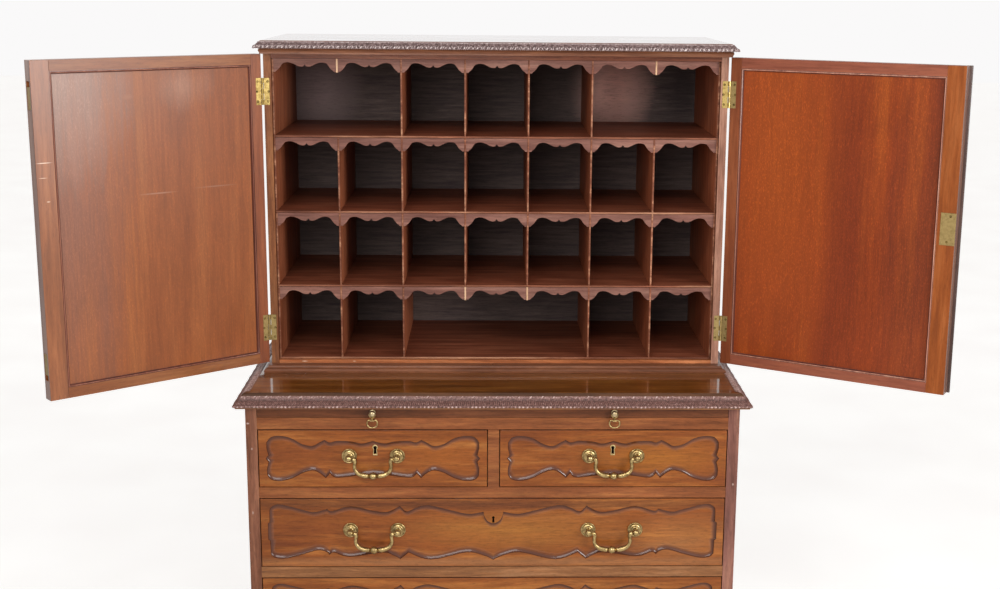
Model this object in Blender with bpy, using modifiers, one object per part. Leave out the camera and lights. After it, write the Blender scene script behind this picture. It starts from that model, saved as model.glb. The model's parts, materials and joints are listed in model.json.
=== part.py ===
# Cabinet on chest: a cabinet with two framed doors and a nest of pigeonholes,
# standing on a chest of drawers with a brushing slide.
# Metres, +Z up, the front faces -Y. The doors stand open and everything else is shut.

import math

import bmesh
import bpy
from mathutils import Matrix, Vector

# Fits
fit = 0.0003
running_gap = 0.0010
overrun = 0.010
overlap = 0.0010
weld = 0.00001
flatness = 0.0005

# Chest carcase
chest_width = 0.914
chest_depth = 0.490
chest_side = 0.0208
chest_back_thick = 0.010
foot_height = 0.118
base_height = 0.034
rail_high = 0.0214
slide_rail_high = 0.0231
slide_space = 0.0201
chest_top_thick = 0.0275
rail_deep = 0.060
dust_board_thick = 0.009
runner_wide = 0.034
muntin_wide = 0.0208
muntin_deep = 0.050
guide_wide = 0.016
guide_high = 0.018

# Mouldings: what each stands out past the wood that carries it
top_edge_out = 0.0218
base_out = 0.0150
cornice_out = 0.0160
cornice_high = 0.028
waist_out = 0.0120
waist_high = 0.0130

# Drawers
short_high = 0.1123
long_high_1 = 0.137
long_high_2 = 0.162
long_high_3 = 0.190
front_thick = 0.022
drawer_side = 0.010
drawer_bottom = 0.007
drawer_top_drop = 0.014
drawer_back_gap = 0.012
field_side = 0.0135
field_border = 0.026
field_depth = 0.0042
field_slope = 0.0065
tongue_deep = 0.0490

# Swan-neck handles
handle_span = 0.0889
handle_raise = 0.004
rose_radius = 0.0138
rose_rim = 0.0032
post_radius = 0.0029
post_reach = 0.0170
post_ball = 0.0050
bail_drop = 0.0355
bail_wire = 0.0024
bail_pin = 0.0014
pin_hole_gap = 0.0005
pin_depth = 0.0032

# Brushing slide and its ring pulls
slide_thick = 0.0190
slide_depth = 0.400
knob_radius = 0.0042
knob_reach = 0.0100
knob_stem = 0.0024
stirrup_wire = 0.0011
ring_half_wide = 0.0094
ring_half_high = 0.0073
ring_wire = 0.0013
ring_drop = 0.0188
collar_radius = 0.0026

# Bracket feet
foot_wide = 0.150
foot_wall = 0.020
foot_block = 0.012
foot_belly = 0.0200

# Upper case: case_shift is how far it stands to the right of the middle of the chest
case_step = 0.0225
case_shift = 0.0045
case_set_back = 0.163
case_side = 0.0140
case_back_thick = 0.008
nest_set_back = 0.007
leaf_board = 0.0033
shelf_board = 0.0035
tier_pitch = 0.1436
floor_high = 0.0229
case_top_thick = 0.0180
cornice_cover = 0.0187
waist_cover = 0.0165
valance_deep = 0.0250
valance_thick = 0.0040
valance_inset = 0.0010
stub_deep = 0.012

# Doors
door_thick = 0.022
door_gap = 0.0015
door_low_gap = 0.0019
door_high_gap = 0.0013
meeting_gap = 0.0010
pin_out = 0.0024
door_rail = 0.0240
hinge_stile = 0.0245
meeting_stile = 0.0375
frame_bead = 0.0045
bead_deep = 0.0030
panel_sink = 0.0040
panel_thick = 0.0090
panel_tongue = 0.0060
lip_inside = 0.0070
lip_reach = 0.0050
lip_thick = 0.0042
lip_arris = 0.0014

# Butt hinges
hinge_long = 0.0500
hinge_inset = 0.0690
hinge_reach = 0.0105
leaf_thick = 0.0014
knuckle_radius = 0.0024
hinge_pin_radius = 0.0013
pin_bore_gap = 0.0004

# Flush bolts and lock
bolt_rod = 0.0050
bolt_inset = 0.0075
bolt_plate_wide = 0.0120
bolt_plate_long = 0.0380
bolt_plate_thick = 0.0018
bolt_drop = 0.0450
bolt_travel = 0.0090
bolt_room = 0.0006
socket_room = 0.0010
socket_deep = 0.0105
lock_wide = 0.0270
lock_high = 0.0580
lock_rise = 0.0085
lock_plate_thick = 0.0015
lock_body_wide = 0.0180
lock_body_high = 0.0440
lock_body_deep = 0.0095

# Open angles of the doors, in degrees from shut
open_left = 141.6
open_right = 148.5

# Flats round a turned piece, and the two ways that one is laid
rose_steps = 10
hole_steps = 8
knuckle_steps = 10
outward = (math.radians(90), 0, 0)
sideways = (0, math.radians(90), 0)

columns = 7
tiers = 4

# Heights worked out from the floor up
half = chest_width / 2
inner = half - chest_side
base_top = foot_height + base_height
long_3_space = (base_top, base_top + long_high_3)
lower_rail_top = long_3_space[1] + rail_high
long_2_space = (lower_rail_top, lower_rail_top + long_high_2)
middle_rail_top = long_2_space[1] + rail_high
long_1_space = (middle_rail_top, middle_rail_top + long_high_1)
upper_rail_top = long_1_space[1] + rail_high
short_space = (upper_rail_top, upper_rail_top + short_high)
slide_rail_top = short_space[1] + slide_rail_high
carcase_top = slide_rail_top + slide_space
chest_top_z = carcase_top + chest_top_thick
chest_back_y = chest_depth - chest_back_thick
rail_back_y = chest_back_y - fit

# Upper case places
case_half = chest_width / 2 - case_step
case_inner = case_half - case_side
case_low = chest_top_z + fit
nest_top = chest_top_z + floor_high + tiers * tier_pitch
case_high = nest_top + case_top_thick
cornice_low = case_high - case_top_thick / 2
cornice_top = cornice_low + cornice_high
waist_top = chest_top_z + waist_high
case_back_y = chest_depth - case_back_thick
nest_front = case_set_back + nest_set_back
nest_back = case_back_y - fit
nest_half = case_inner - fit
pitch = (2 * nest_half - leaf_board) / columns

# Door places, with the pin of each hinge outside the corner of the case
pin_x = case_half + pin_out
pin_y = case_set_back - door_gap / 2
door_low = waist_top + door_low_gap
door_high = cornice_low - door_high_gap
door_edge = pin_x - meeting_gap / 2
inner_face = -door_gap / 2
outer_face = inner_face - door_thick
mid_face = (inner_face + outer_face) / 2
short_centre = (inner + muntin_wide / 2) / 2
handle_x = short_centre

# Outlines, as shares of the sizes that they follow: each smooth run ends in a cusp
short_top_shares = (
    ((0.0, 0.81), (0.105, 1.00), (0.20, 0.85), (0.334, 0.81), (0.40, 0.92), (0.45, 0.735)),
    ((0.45, 0.735), (0.495, 0.90), (0.567, 1.19), (0.66, 1.04), (0.755, 0.62), (0.856, 0.44),
     (0.945, 0.52), (0.990, 0.92)),
)
short_side_shares = ((0.992, 0.32), (0.975, 0.44), (1.0, 0.50), (0.975, 0.56), (0.992, 0.68))
short_bottom_shares = (
    ((0.990, 0.90), (0.955, 0.56), (0.87, 0.45), (0.755, 0.67), (0.66, 1.06), (0.567, 1.25),
     (0.506, 1.06), (0.445, 0.67)),
    ((0.445, 0.67), (0.406, 1.02)),
    ((0.406, 1.02), (0.343, 0.70), (0.153, 0.87), (0.0, 0.98)),
)
long_top_shares = (
    ((0.048, 1.03), (0.1125, 1.17), (0.20, 0.85), (0.287, 0.515), (0.34, 0.68), (0.384, 0.98),
     (0.415, 0.546)),
    ((0.415, 0.546), (0.44, 0.80), (0.478, 1.02), (0.533, 0.93), (0.632, 0.59), (0.714, 0.95),
     (0.736, 0.79)),
    ((0.736, 0.79), (0.794, 1.02), (0.84, 0.87), (0.944, 0.44), (0.985, 0.65), (0.992, 1.10)),
)
long_tongue_share = 0.0437
long_side_shares = ((0.992, 0.34), (1.0, 0.36), (1.0, 0.60), (0.992, 0.62))
long_bottom_shares = (
    ((0.990, 0.95), (0.972, 0.70), (0.93, 0.63), (0.86, 0.90), (0.786, 1.26), (0.745, 1.15),
     (0.731, 0.92)),
    ((0.731, 0.92), (0.709, 1.085), (0.64, 0.754), (0.496, 1.085), (0.445, 0.85), (0.415, 0.58)),
    ((0.415, 0.58), (0.3775, 1.08)),
    ((0.3775, 1.08), (0.279, 0.53), (0.12, 1.08), (0.04, 0.82), (0.0, 0.50)),
)
valance_half_shares = ((0.03, 1.00), (0.12, 0.70), (0.23, 0.365), (0.34, 0.47), (0.46, 0.65))
valance_notch_share = 0.47
ogee_shares = (
    (0.40, 0.0), (0.40, 0.05), (0.06, 0.14), (0.02, 0.26), (0.12, 0.40), (0.55, 0.56), (0.95, 0.72),
    (1.0, 0.84), (0.80, 0.95), (0.70, 1.0),
)
scroll_shares = (
    (0.42, -0.20), (0.41, 0.10), (0.45, 0.28), (0.54, 0.38), (0.51, 0.50), (0.62, 0.64), (0.78, 0.75),
    (0.94, 0.78), (1.10, 0.78), (1.10, -0.20),
)
top_edge_shares = (
    (0.70, 0.0), (0.94, 0.07), (1.0, 0.21), (0.94, 0.33), (0.78, 0.42), (0.50, 0.60), (0.42, 0.71),
    (0.34, 0.83), (0.22, 0.94), (0.0, 1.0),
)
base_shares = (
    (0.90, 0.0), (0.90, 0.28), (1.0, 0.36), (0.98, 0.50), (0.70, 0.62), (0.34, 0.74), (0.16, 0.88),
    (0.0, 1.0),
)
cornice_shares = (
    (0.22, 0.0), (0.22, 0.10), (0.34, 0.22), (0.66, 0.36), (0.98, 0.42), (1.0, 0.52), (0.88, 0.66),
    (0.62, 0.80), (0.50, 0.92), (0.30, 1.0),
)
waist_shares = (
    (0.95, 0.0), (1.0, 0.30), (0.80, 0.55), (0.40, 0.72), (0.36, 0.92), (0.28, 1.0),
)

# Colour (linear), roughness and metallic of each kind of surface
surfaces = {
    "front": ((0.235, 0.075, 0.022), 0.28, 0.0),
    "panel": ((0.250, 0.065, 0.022), 0.26, 0.0),
    "dark": ((0.075, 0.030, 0.022), 0.35, 0.0),
    "inside": ((0.150, 0.045, 0.020), 0.45, 0.0),
    "lining": ((0.360, 0.200, 0.090), 0.60, 0.0),
    "brass": ((0.620, 0.440, 0.160), 0.30, 1.0),
}


def clear_scene():
    for old in list(bpy.data.objects):
        bpy.data.objects.remove(old, do_unlink=True)


def new_collection(name):
    collection = bpy.data.collections.new(name)
    bpy.context.scene.collection.children.link(collection)
    return collection


clear_scene()
parts = new_collection("cabinet_on_chest")
cutters = new_collection("cutters")


def place(obj, location, parent, rotation=(0, 0, 0)):
    obj.location = location
    obj.rotation_euler = rotation
    obj.parent = parent
    return obj


def empty(name, location, parent=None, turn=0.0):
    obj = bpy.data.objects.new(name, None)
    parts.objects.link(obj)
    return place(obj, location, parent, (0, 0, turn))


def add_piece(name, mesh, surface, parent, location=(0, 0, 0), rotation=(0, 0, 0)):
    """One named sub-part with a material of its own."""
    colour, roughness, metallic = surfaces[surface]
    material = bpy.data.materials.new(name)
    material.use_nodes = True
    shader = material.node_tree.nodes["Principled BSDF"]
    shader.inputs["Base Color"].default_value = (*colour, 1)
    shader.inputs["Roughness"].default_value = roughness
    shader.inputs["Metallic"].default_value = metallic
    mesh.materials.append(material)
    obj = bpy.data.objects.new(name, mesh)
    parts.objects.link(obj)
    return place(obj, location, parent, rotation)


def add_guide(name, mesh, parent, location=(0, 0, 0), rotation=(0, 0, 0)):
    """A shape that only cuts or joins another, and isn't a part itself."""
    obj = bpy.data.objects.new(name, mesh)
    cutters.objects.link(obj)
    obj.hide_render = True
    obj.display_type = "WIRE"
    return place(obj, location, parent, rotation)


def combine(piece, guide, operation):
    modifier = piece.modifiers.new(guide.name, "BOOLEAN")
    modifier.object = guide
    modifier.operation = operation
    modifier.solver = "EXACT"


def cut(piece, guide):
    combine(piece, guide, "DIFFERENCE")


def join(piece, guide):
    combine(piece, guide, "UNION")


def block_mesh(name, x, y, z):
    """A box about its own middle; x, y and z are (low, high)."""
    mesh = bpy.data.meshes.new(name)
    bm = bmesh.new()
    bmesh.ops.create_cube(bm, size=1)
    bmesh.ops.scale(bm, vec=(x[1] - x[0], y[1] - y[0], z[1] - z[0]), verts=bm.verts)
    bm.to_mesh(mesh)
    bm.free()
    return mesh


def middle(x, y, z):
    return ((x[0] + x[1]) / 2, (y[0] + y[1]) / 2, (z[0] + z[1]) / 2)


def board(name, x, y, z, surface, parent):
    return add_piece(name, block_mesh(name, x, y, z), surface, parent, middle(x, y, z))


def box_guide(name, x, y, z, parent):
    return add_guide(name, block_mesh(name, x, y, z), parent, middle(x, y, z))


def span(side, near, far):
    """(low, high) of a stretch from near to far, mirrored for side -1."""
    ends = (side * near, side * far)
    return (min(ends), max(ends))


def loft_mesh(name, rings):
    """A closed skin over rings of equally many points, capped at both ends."""
    mesh = bpy.data.meshes.new(name)
    bm = bmesh.new()
    rows = [[bm.verts.new(point) for point in ring] for ring in rings]
    count = len(rings[0])
    for lower, upper in zip(rows, rows[1:]):
        for i in range(count):
            j = (i + 1) % count
            bm.faces.new((lower[i], lower[j], upper[j], upper[i]))
    bm.faces.new(rows[0][::-1])
    bm.faces.new(rows[-1])
    bmesh.ops.recalc_face_normals(bm, faces=bm.faces)
    bm.to_mesh(mesh)
    bm.free()
    return mesh


def moulded_slab_mesh(name, half_wide, front, back, low, high, out, shares):
    """A slab whose two sides and front follow a moulding; shares are (out, up)."""
    rings = []
    for out_share, up_share in shares:
        grow = out * out_share
        z = low + (high - low) * up_share
        corners = (
            (-half_wide - grow, front - grow), (half_wide + grow, front - grow),
            (half_wide + grow, back), (-half_wide - grow, back),
        )
        rings.append([Vector((x, y, z)) for x, y in corners])
    return loft_mesh(name, rings)


def outline_mesh(name, points, thickness):
    """A flat outline of (x, z) points, thick along Y, from a filled 2D curve."""
    curve = bpy.data.curves.new(name, "CURVE")
    curve.dimensions = "2D"
    curve.fill_mode = "BOTH"
    curve.extrude = thickness / 2
    spline = curve.splines.new("POLY")
    spline.points.add(len(points) - 1)
    for point, (x, z) in zip(spline.points, points):
        point.co = (x, z, 0, 1)
    spline.use_cyclic_u = True
    mesh = curve_to_mesh(name, curve)
    mesh.transform(Matrix.Rotation(math.radians(90), 4, "X"))
    return mesh


def curve_to_mesh(name, curve):
    obj = bpy.data.objects.new(name, curve)
    cutters.objects.link(obj)
    graph = bpy.context.evaluated_depsgraph_get()
    mesh = bpy.data.meshes.new_from_object(obj.evaluated_get(graph))
    bpy.data.objects.remove(obj)
    bpy.data.curves.remove(curve)
    bm = bmesh.new()
    bm.from_mesh(mesh)
    bmesh.ops.remove_doubles(bm, verts=bm.verts, dist=weld)
    bmesh.ops.recalc_face_normals(bm, faces=bm.faces)
    bm.to_mesh(mesh)
    bm.free()
    mesh.name = name
    return mesh


def tube_mesh(name, stations, cyclic=False, resolution=1):
    """A round wire through stations of (x, y, z, radius)."""
    curve = bpy.data.curves.new(name, "CURVE")
    curve.dimensions = "3D"
    thickest = max(station[3] for station in stations)
    curve.bevel_depth = thickest
    curve.bevel_resolution = resolution
    curve.use_fill_caps = not cyclic
    spline = curve.splines.new("POLY")
    spline.points.add(len(stations) - 1)
    for point, (x, y, z, radius) in zip(spline.points, stations):
        point.co = (x, y, z, 1)
        point.radius = radius / thickest
    spline.use_cyclic_u = cyclic
    mesh = curve_to_mesh(name, curve)
    mesh.shade_smooth()
    mesh.set_sharp_from_angle(angle=math.radians(40))
    return mesh


def turned_guide(name, profile, steps, parent, location, rotation=(0, 0, 0), closed=False):
    """A turned shape about Z from its half outline: (radius, height) from the top down its outer side.

    It starts half a step round, so that its corners stay clear of the planes of its neighbours.
    """
    points = []
    edges = []
    for loop in (profile if closed else [profile]):
        first = len(points)
        points += [(radius, 0, height) for radius, height in loop]
        edges += [(i, i + 1) for i in range(first, len(points) - 1)]
        if closed:
            edges.append((len(points) - 1, first))
    mesh = bpy.data.meshes.new(name)
    mesh.from_pydata(points, edges, [])
    mesh.transform(Matrix.Rotation(math.pi / steps, 4, "Z"))
    guide = add_guide(name, mesh, parent, location, rotation)
    screw = guide.modifiers.new("turned", "SCREW")
    screw.axis = "Z"
    screw.steps = steps
    screw.render_steps = steps
    screw.use_merge_vertices = True
    screw.merge_threshold = weld
    screw.use_smooth_shade = True
    return guide


def smooth_run(points, steps):
    """Points along a Catmull-Rom curve through the given ones, without the last."""
    ends = [points[0]] + list(points) + [points[-1]]
    run = []
    for i in range(1, len(ends) - 2):
        a, b, c, d = (Vector(p) for p in ends[i - 1:i + 3])
        for step in range(steps):
            t = step / steps
            run.append(tuple(
                (2 * b + (c - a) * t + (2 * a - 5 * b + 4 * c - d) * t ** 2
                 + (3 * b - a - 3 * c + d) * t ** 3) / 2
            ))
    return run


def thinned(points):
    """The points without those that stand hardly off the line of their neighbours."""
    kept = [points[0]]
    for point, after in zip(points[1:], points[2:]):
        a = Vector(kept[-1])
        b = Vector(after) - a
        c = Vector(point) - a
        if abs(b.cross(c)) > flatness * b.length:
            kept.append(point)
    return kept + [points[-1]]


def field_outline(half_wide, low, high, top_shares, side_shares, bottom_shares, tongue):
    """The serpentine edge of a sunk drawer field, clockwise from the top centre."""
    right = []
    if tongue:
        for turn in (90, 60, 30, 0):
            angle = math.radians(turn)
            x = half_wide * long_tongue_share * math.cos(angle)
            drop = field_border + (tongue_deep - field_border) * math.sin(angle)
            right.append((x, high - drop))
    for run in top_shares:
        right += smooth_run([(half_wide * x, high - field_border * z) for x, z in run], 2)
    x, z = top_shares[-1][-1]
    right.append((half_wide * x, high - field_border * z))
    right += [(half_wide * x, high - (high - low) * z) for x, z in side_shares]
    for run in bottom_shares:
        right += smooth_run([(half_wide * x, low + field_border * z) for x, z in run], 2)
    x, z = bottom_shares[-1][-1]
    right.append((half_wide * x, low + field_border * z))
    right = thinned(right)
    left = [(-x, z) for x, z in reversed(right) if x > weld]
    return right + left


def sunk_field_mesh(name, outline, half_wide, low, high):
    """A cutter with a hollow-moulded edge: the outline drawn in towards the middle as it goes deeper."""
    core_x = half_wide - field_border
    core_low = low + field_border * 2
    core_high = high - field_border * 2
    rings = []
    for depth, inset in ((-overrun, 0.0), (0.0, 0.0), (field_depth * 0.70, field_slope * 0.38),
                         (field_depth, field_slope)):
        ring = []
        for x, z in outline:
            core = Vector((max(-core_x, min(core_x, x)), max(core_low, min(core_high, z))))
            inward = (core - Vector((x, z))).normalized() * inset
            ring.append(Vector((x + inward.x, depth, z + inward.y)))
        rings.append(ring)
    return loft_mesh(name, rings)


def rod_profile(radius, reach):
    """A plain round rod of half length reach."""
    return ((0, reach), (radius, reach), (radius, -reach), (0, -reach))


def rose_profile():
    """Rose, post and ball, turned: (radius, height above the wood)."""
    tip = post_reach + post_ball
    return (
        (0, tip), (post_ball * 0.75, tip - post_ball * 0.34), (post_ball, post_reach - post_ball * 0.1),
        (post_radius, post_reach - post_ball * 1.05), (post_radius, rose_rim * 1.1),
        (rose_radius * 0.60, rose_rim * 0.45), (rose_radius * 0.90, rose_rim), (rose_radius, -overlap),
        (0, -overlap),
    )


def bail_stations():
    """Half of a swan-neck bail, from its pin to the middle bead: (x, y, z, radius)."""
    end = handle_span / 2
    ball = post_ball
    drop = bail_drop
    wire = bail_wire
    return [
        (-end + ball - pin_depth, 0, 0, bail_pin), (-end + ball + pin_hole_gap, 0, 0, bail_pin),
        (-end + ball * 1.55, 0, -drop * 0.01, wire * 1.40),
        (-end + ball * 2.15, 0, -drop * 0.12, wire * 1.25),
        (-end + ball * 2.10, 0, -drop * 0.42, wire), (-end + ball * 2.75, 0, -drop * 0.70, wire * 1.10),
        (-end + ball * 4.2, 0, -drop * 0.90, wire * 1.40), (-end + ball * 6.0, 0, -drop * 0.96, wire * 1.55),
        (-wire * 2.2, 0, -drop, wire * 1.05), (-wire * 1.9, 0, -drop, wire * 1.75),
        (0, 0, -drop, wire * 2.30),
    ]


def bail_mesh(name):
    left = bail_stations()
    right = [(-x, y, z, radius) for x, y, z, radius in reversed(left[:-1])]
    return tube_mesh(name, left + right)


def ellipse(half_wide, half_high, drop, wire, count):
    stations = []
    for i in range(count):
        angle = 2 * math.pi * i / count
        stations.append((half_wide * math.sin(angle), 0, half_high * math.cos(angle) - drop, wire))
    return stations


def rail(name, high_z, thickness, parent):
    """A front rail with its dust board and the runners that carry the drawer above."""
    width = (-inner + fit, inner - fit)
    low = high_z - thickness + fit
    high = high_z - fit
    piece = board(name, width, (0, rail_back_y), (low, high), "front", parent)
    pocket_x = inner - runner_wide
    pocket = box_guide(name + "_pocket", (-pocket_x, pocket_x), (rail_deep, chest_depth + overrun),
                       (low - overrun, high - dust_board_thick), parent)
    cut(piece, pocket)
    return piece


def drawer(name, x, space, shares, handles, tongue, parent):
    """A drawer: sunk front with its roses and posts, box, and one bail a handle."""
    low = space[0] + fit
    high = space[1] - running_gap
    centre = (x[0] + x[1]) / 2
    half_wide = (x[1] - x[0]) / 2 - running_gap
    half_high = (high - low) / 2
    mid_z = (low + high) / 2
    runner = empty(name, (centre, 0, mid_z), parent)
    front = board(name + "_front", (-half_wide, half_wide), (0, front_thick), (-half_high, half_high),
                  "front", runner)
    field_half = half_wide - field_side
    outline = field_outline(field_half, -half_high, half_high, *shares, tongue)
    field = add_guide(name + "_field", sunk_field_mesh(name + "_field", outline, field_half,
                                                       -half_high, half_high), runner)
    cut(front, field)
    face = field_depth
    for number, handle in enumerate(handles):
        for side in (-1, 1):
            at = (handle - centre + side * handle_span / 2, face, handle_raise)
            join(front, turned_guide(name + "_rose", rose_profile(), rose_steps, runner, at, outward))
        axis = (handle - centre, face - post_reach, handle_raise)
        reach = handle_span / 2 - post_ball + pin_depth + pin_hole_gap
        hole = rod_profile(bail_pin + pin_hole_gap, reach)
        cut(front, turned_guide(name + "_pin_holes", hole, hole_steps, runner, axis, sideways))
        suffix = ("_left", "_right")[number] if len(handles) > 1 else ""
        add_piece(name + "_bail" + suffix, bail_mesh(name + "_bail" + suffix), "brass", runner, axis)
    box_high = half_high - drawer_top_drop
    depth = (front_thick + fit, chest_back_y - drawer_back_gap)
    box = board(name + "_box", (-half_wide, half_wide), depth, (-half_high, box_high), "lining", runner)
    hollow = box_guide(name + "_hollow", (-half_wide + drawer_side, half_wide - drawer_side),
                       (depth[0] - overrun, depth[1] - drawer_side),
                       (-half_high + drawer_bottom, box_high + overrun), runner)
    cut(box, hollow)
    return runner


def foot(name, side, front, parent):
    """An ogee bracket foot: a moulded block, hollowed to two brackets and scrolled below."""
    near = 0 if front else chest_depth
    inward = 1 if front else -1
    x_inner = side * (half - foot_wide)
    rings = []
    for out_share, up_share in ogee_shares:
        out = foot_belly * out_share
        x_outer = side * (half + out)
        y_outer = near - inward * out if front else near
        y_inner = near + inward * foot_wide
        z = (foot_height - fit) * up_share
        corners = ((x_outer, y_outer), (x_inner, y_outer), (x_inner, y_inner), (x_outer, y_inner))
        rings.append([Vector((x, y, z)) for x, y in corners])
    piece = add_piece(name, loft_mesh(name, rings), "dark", parent)
    room_x = span(side, half - foot_wide - overrun, half - foot_wall)
    room_y = (near + inward * foot_wall, near + inward * (foot_wide + overrun))
    room = box_guide(name + "_room", room_x, (min(room_y), max(room_y)),
                     (-overrun, foot_height - foot_block), parent)
    cut(piece, room)
    scroll = [(side * (half - foot_wide * x), foot_height * z) for x, z in scroll_shares]
    depth = 2 * foot_wide + 2 * foot_belly
    front_scroll = add_guide(name + "_front_scroll", outline_mesh(name + "_front_scroll", scroll, depth),
                             parent, (0, near, 0))
    cut(piece, front_scroll)
    profile = [(foot_wide * x, foot_height * z) for x, z in scroll_shares]
    side_scroll = add_guide(name + "_side_scroll", outline_mesh(name + "_side_scroll", profile, depth),
                            parent, (side * half, near, 0), (0, 0, math.radians(90) * inward))
    cut(piece, side_scroll)
    return piece


def build_chest(root):
    add_piece("chest_top", moulded_slab_mesh(
        "chest_top", half, 0, chest_depth, carcase_top + fit, chest_top_z, top_edge_out, top_edge_shares),
        "front", root)
    add_piece("chest_base", moulded_slab_mesh(
        "chest_base", half, 0, chest_depth, foot_height, base_top, base_out, base_shares), "dark", root)
    sides_z = (base_top + fit, carcase_top)
    for name, side in (("chest_side_left", -1), ("chest_side_right", 1)):
        board(name, span(side, inner, half), (0, chest_depth), sides_z, "front", root)
    board("chest_back", (-inner + fit, inner - fit), (chest_back_y, chest_depth), sides_z, "lining", root)
    rail("slide_rail", slide_rail_top, slide_rail_high, root)
    upper = rail("upper_rail", upper_rail_top, rail_high, root)
    rail("middle_rail", middle_rail_top, rail_high, root)
    rail("lower_rail", lower_rail_top, rail_high, root)
    muntin = box_guide("muntin", (-muntin_wide / 2, muntin_wide / 2), (0, muntin_deep),
                       (upper_rail_top - overlap - fit, short_space[1] - fit), root)
    join(upper, muntin)
    guide = box_guide("drawer_guide", (-guide_wide / 2, guide_wide / 2), (muntin_deep - overlap, rail_back_y),
                      (upper_rail_top - overlap - fit, upper_rail_top + guide_high), root)
    join(upper, guide)
    for name, side, front in (("foot_front_left", -1, True), ("foot_front_right", 1, True),
                              ("foot_back_left", -1, False), ("foot_back_right", 1, False)):
        foot(name, side, front, root)


def build_slide(root):
    low = slide_rail_top + fit
    mid_z = low + slide_thick / 2
    runner = empty("brushing_slide_runner", (0, 0, mid_z), root)
    half_wide = inner - running_gap
    slide = board("brushing_slide", (-half_wide, half_wide), (0, slide_depth),
                  (-slide_thick / 2, slide_thick / 2), "front", runner)
    tip = knob_reach + knob_radius
    profile = (
        (0, tip), (knob_radius * 0.72, tip - knob_radius * 0.28), (knob_radius, knob_reach),
        (knob_radius * 0.72, knob_reach - knob_radius * 0.72), (knob_stem, knob_reach - knob_radius * 1.1),
        (knob_stem, knob_stem), (knob_radius, knob_stem * 0.6), (knob_radius, -overlap), (0, -overlap),
    )
    for name, side in (("ring_pull_left", -1), ("ring_pull_right", 1)):
        at = (side * handle_x, 0, 0)
        join(slide, turned_guide(name + "_knob", profile, rose_steps, runner, at, outward))
        axis = (side * handle_x, -knob_reach, 0)
        hole = rod_profile(stirrup_wire + pin_hole_gap, knob_radius + overlap)
        cut(slide, turned_guide(name + "_eye", hole, hole_steps, runner, axis, sideways))
        ring_pull(name, axis, runner)


def ring_pull(name, axis, runner):
    """Stirrup through the knob's eye, collar and ring, one piece."""
    wide = knob_radius + stirrup_wire + pin_hole_gap
    low = knob_radius + stirrup_wire * 2 + pin_hole_gap
    wire = stirrup_wire
    stirrup = [(-wide, 0, 0, wire), (0, 0, 0, wire), (wide, 0, 0, wire), (wide, 0, -low * 0.55, wire),
               (wide * 0.6, 0, -low, wire), (-wide * 0.6, 0, -low, wire), (-wide, 0, -low * 0.55, wire)]
    ring = ellipse(ring_half_wide, ring_half_high, ring_drop, ring_wire, 16)
    piece = add_piece(name, tube_mesh(name, ring, cyclic=True), "brass", runner, axis)
    eye = add_guide(name + "_stirrup", tube_mesh(name + "_stirrup", stirrup, cyclic=True), runner, axis)
    join(piece, eye)
    top = -low + wire
    bottom = -ring_drop + ring_half_high - ring_wire
    collar = (
        (0, top), (collar_radius * 0.6, top), (collar_radius, (top * 2 + bottom) / 3),
        (collar_radius * 0.6, (top + bottom) / 2), (collar_radius, (top + bottom * 2) / 3),
        (collar_radius * 0.6, bottom), (0, bottom),
    )
    join(piece, turned_guide(name + "_collar", collar, hole_steps, runner, axis))


def build_drawers(root):
    short_shares = (short_top_shares, short_side_shares, short_bottom_shares)
    long_shares = (long_top_shares, long_side_shares, long_bottom_shares)
    drawer("short_drawer_left", (-inner, -muntin_wide / 2), short_space, short_shares, (-handle_x,), False,
           root)
    drawer("short_drawer_right", (muntin_wide / 2, inner), short_space, short_shares, (handle_x,), False,
           root)
    pair = (-handle_x, handle_x)
    drawer("long_drawer_1", (-inner, inner), long_1_space, long_shares, pair, True, root)
    drawer("long_drawer_2", (-inner, inner), long_2_space, long_shares, pair, True, root)
    drawer("long_drawer_3", (-inner, inner), long_3_space, long_shares, pair, True, root)


def bolt_place(direction):
    """(low, high) of a flush bolt's plate, upwards for direction 1 and downwards for -1."""
    end = door_high if direction > 0 else door_low
    stretch = (end - direction * bolt_drop, end - direction * (bolt_drop + bolt_plate_long))
    return (min(stretch), max(stretch))


def socket(name, low, high, root):
    """The hole that takes a flush bolt when the left door is shut."""
    reach = bolt_rod / 2 + socket_room
    x = -pin_x + door_edge - bolt_inset
    y = pin_y + mid_face
    return box_guide(name, (x - reach, x + reach), (y - reach, y + reach), (low, high), root)


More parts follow.
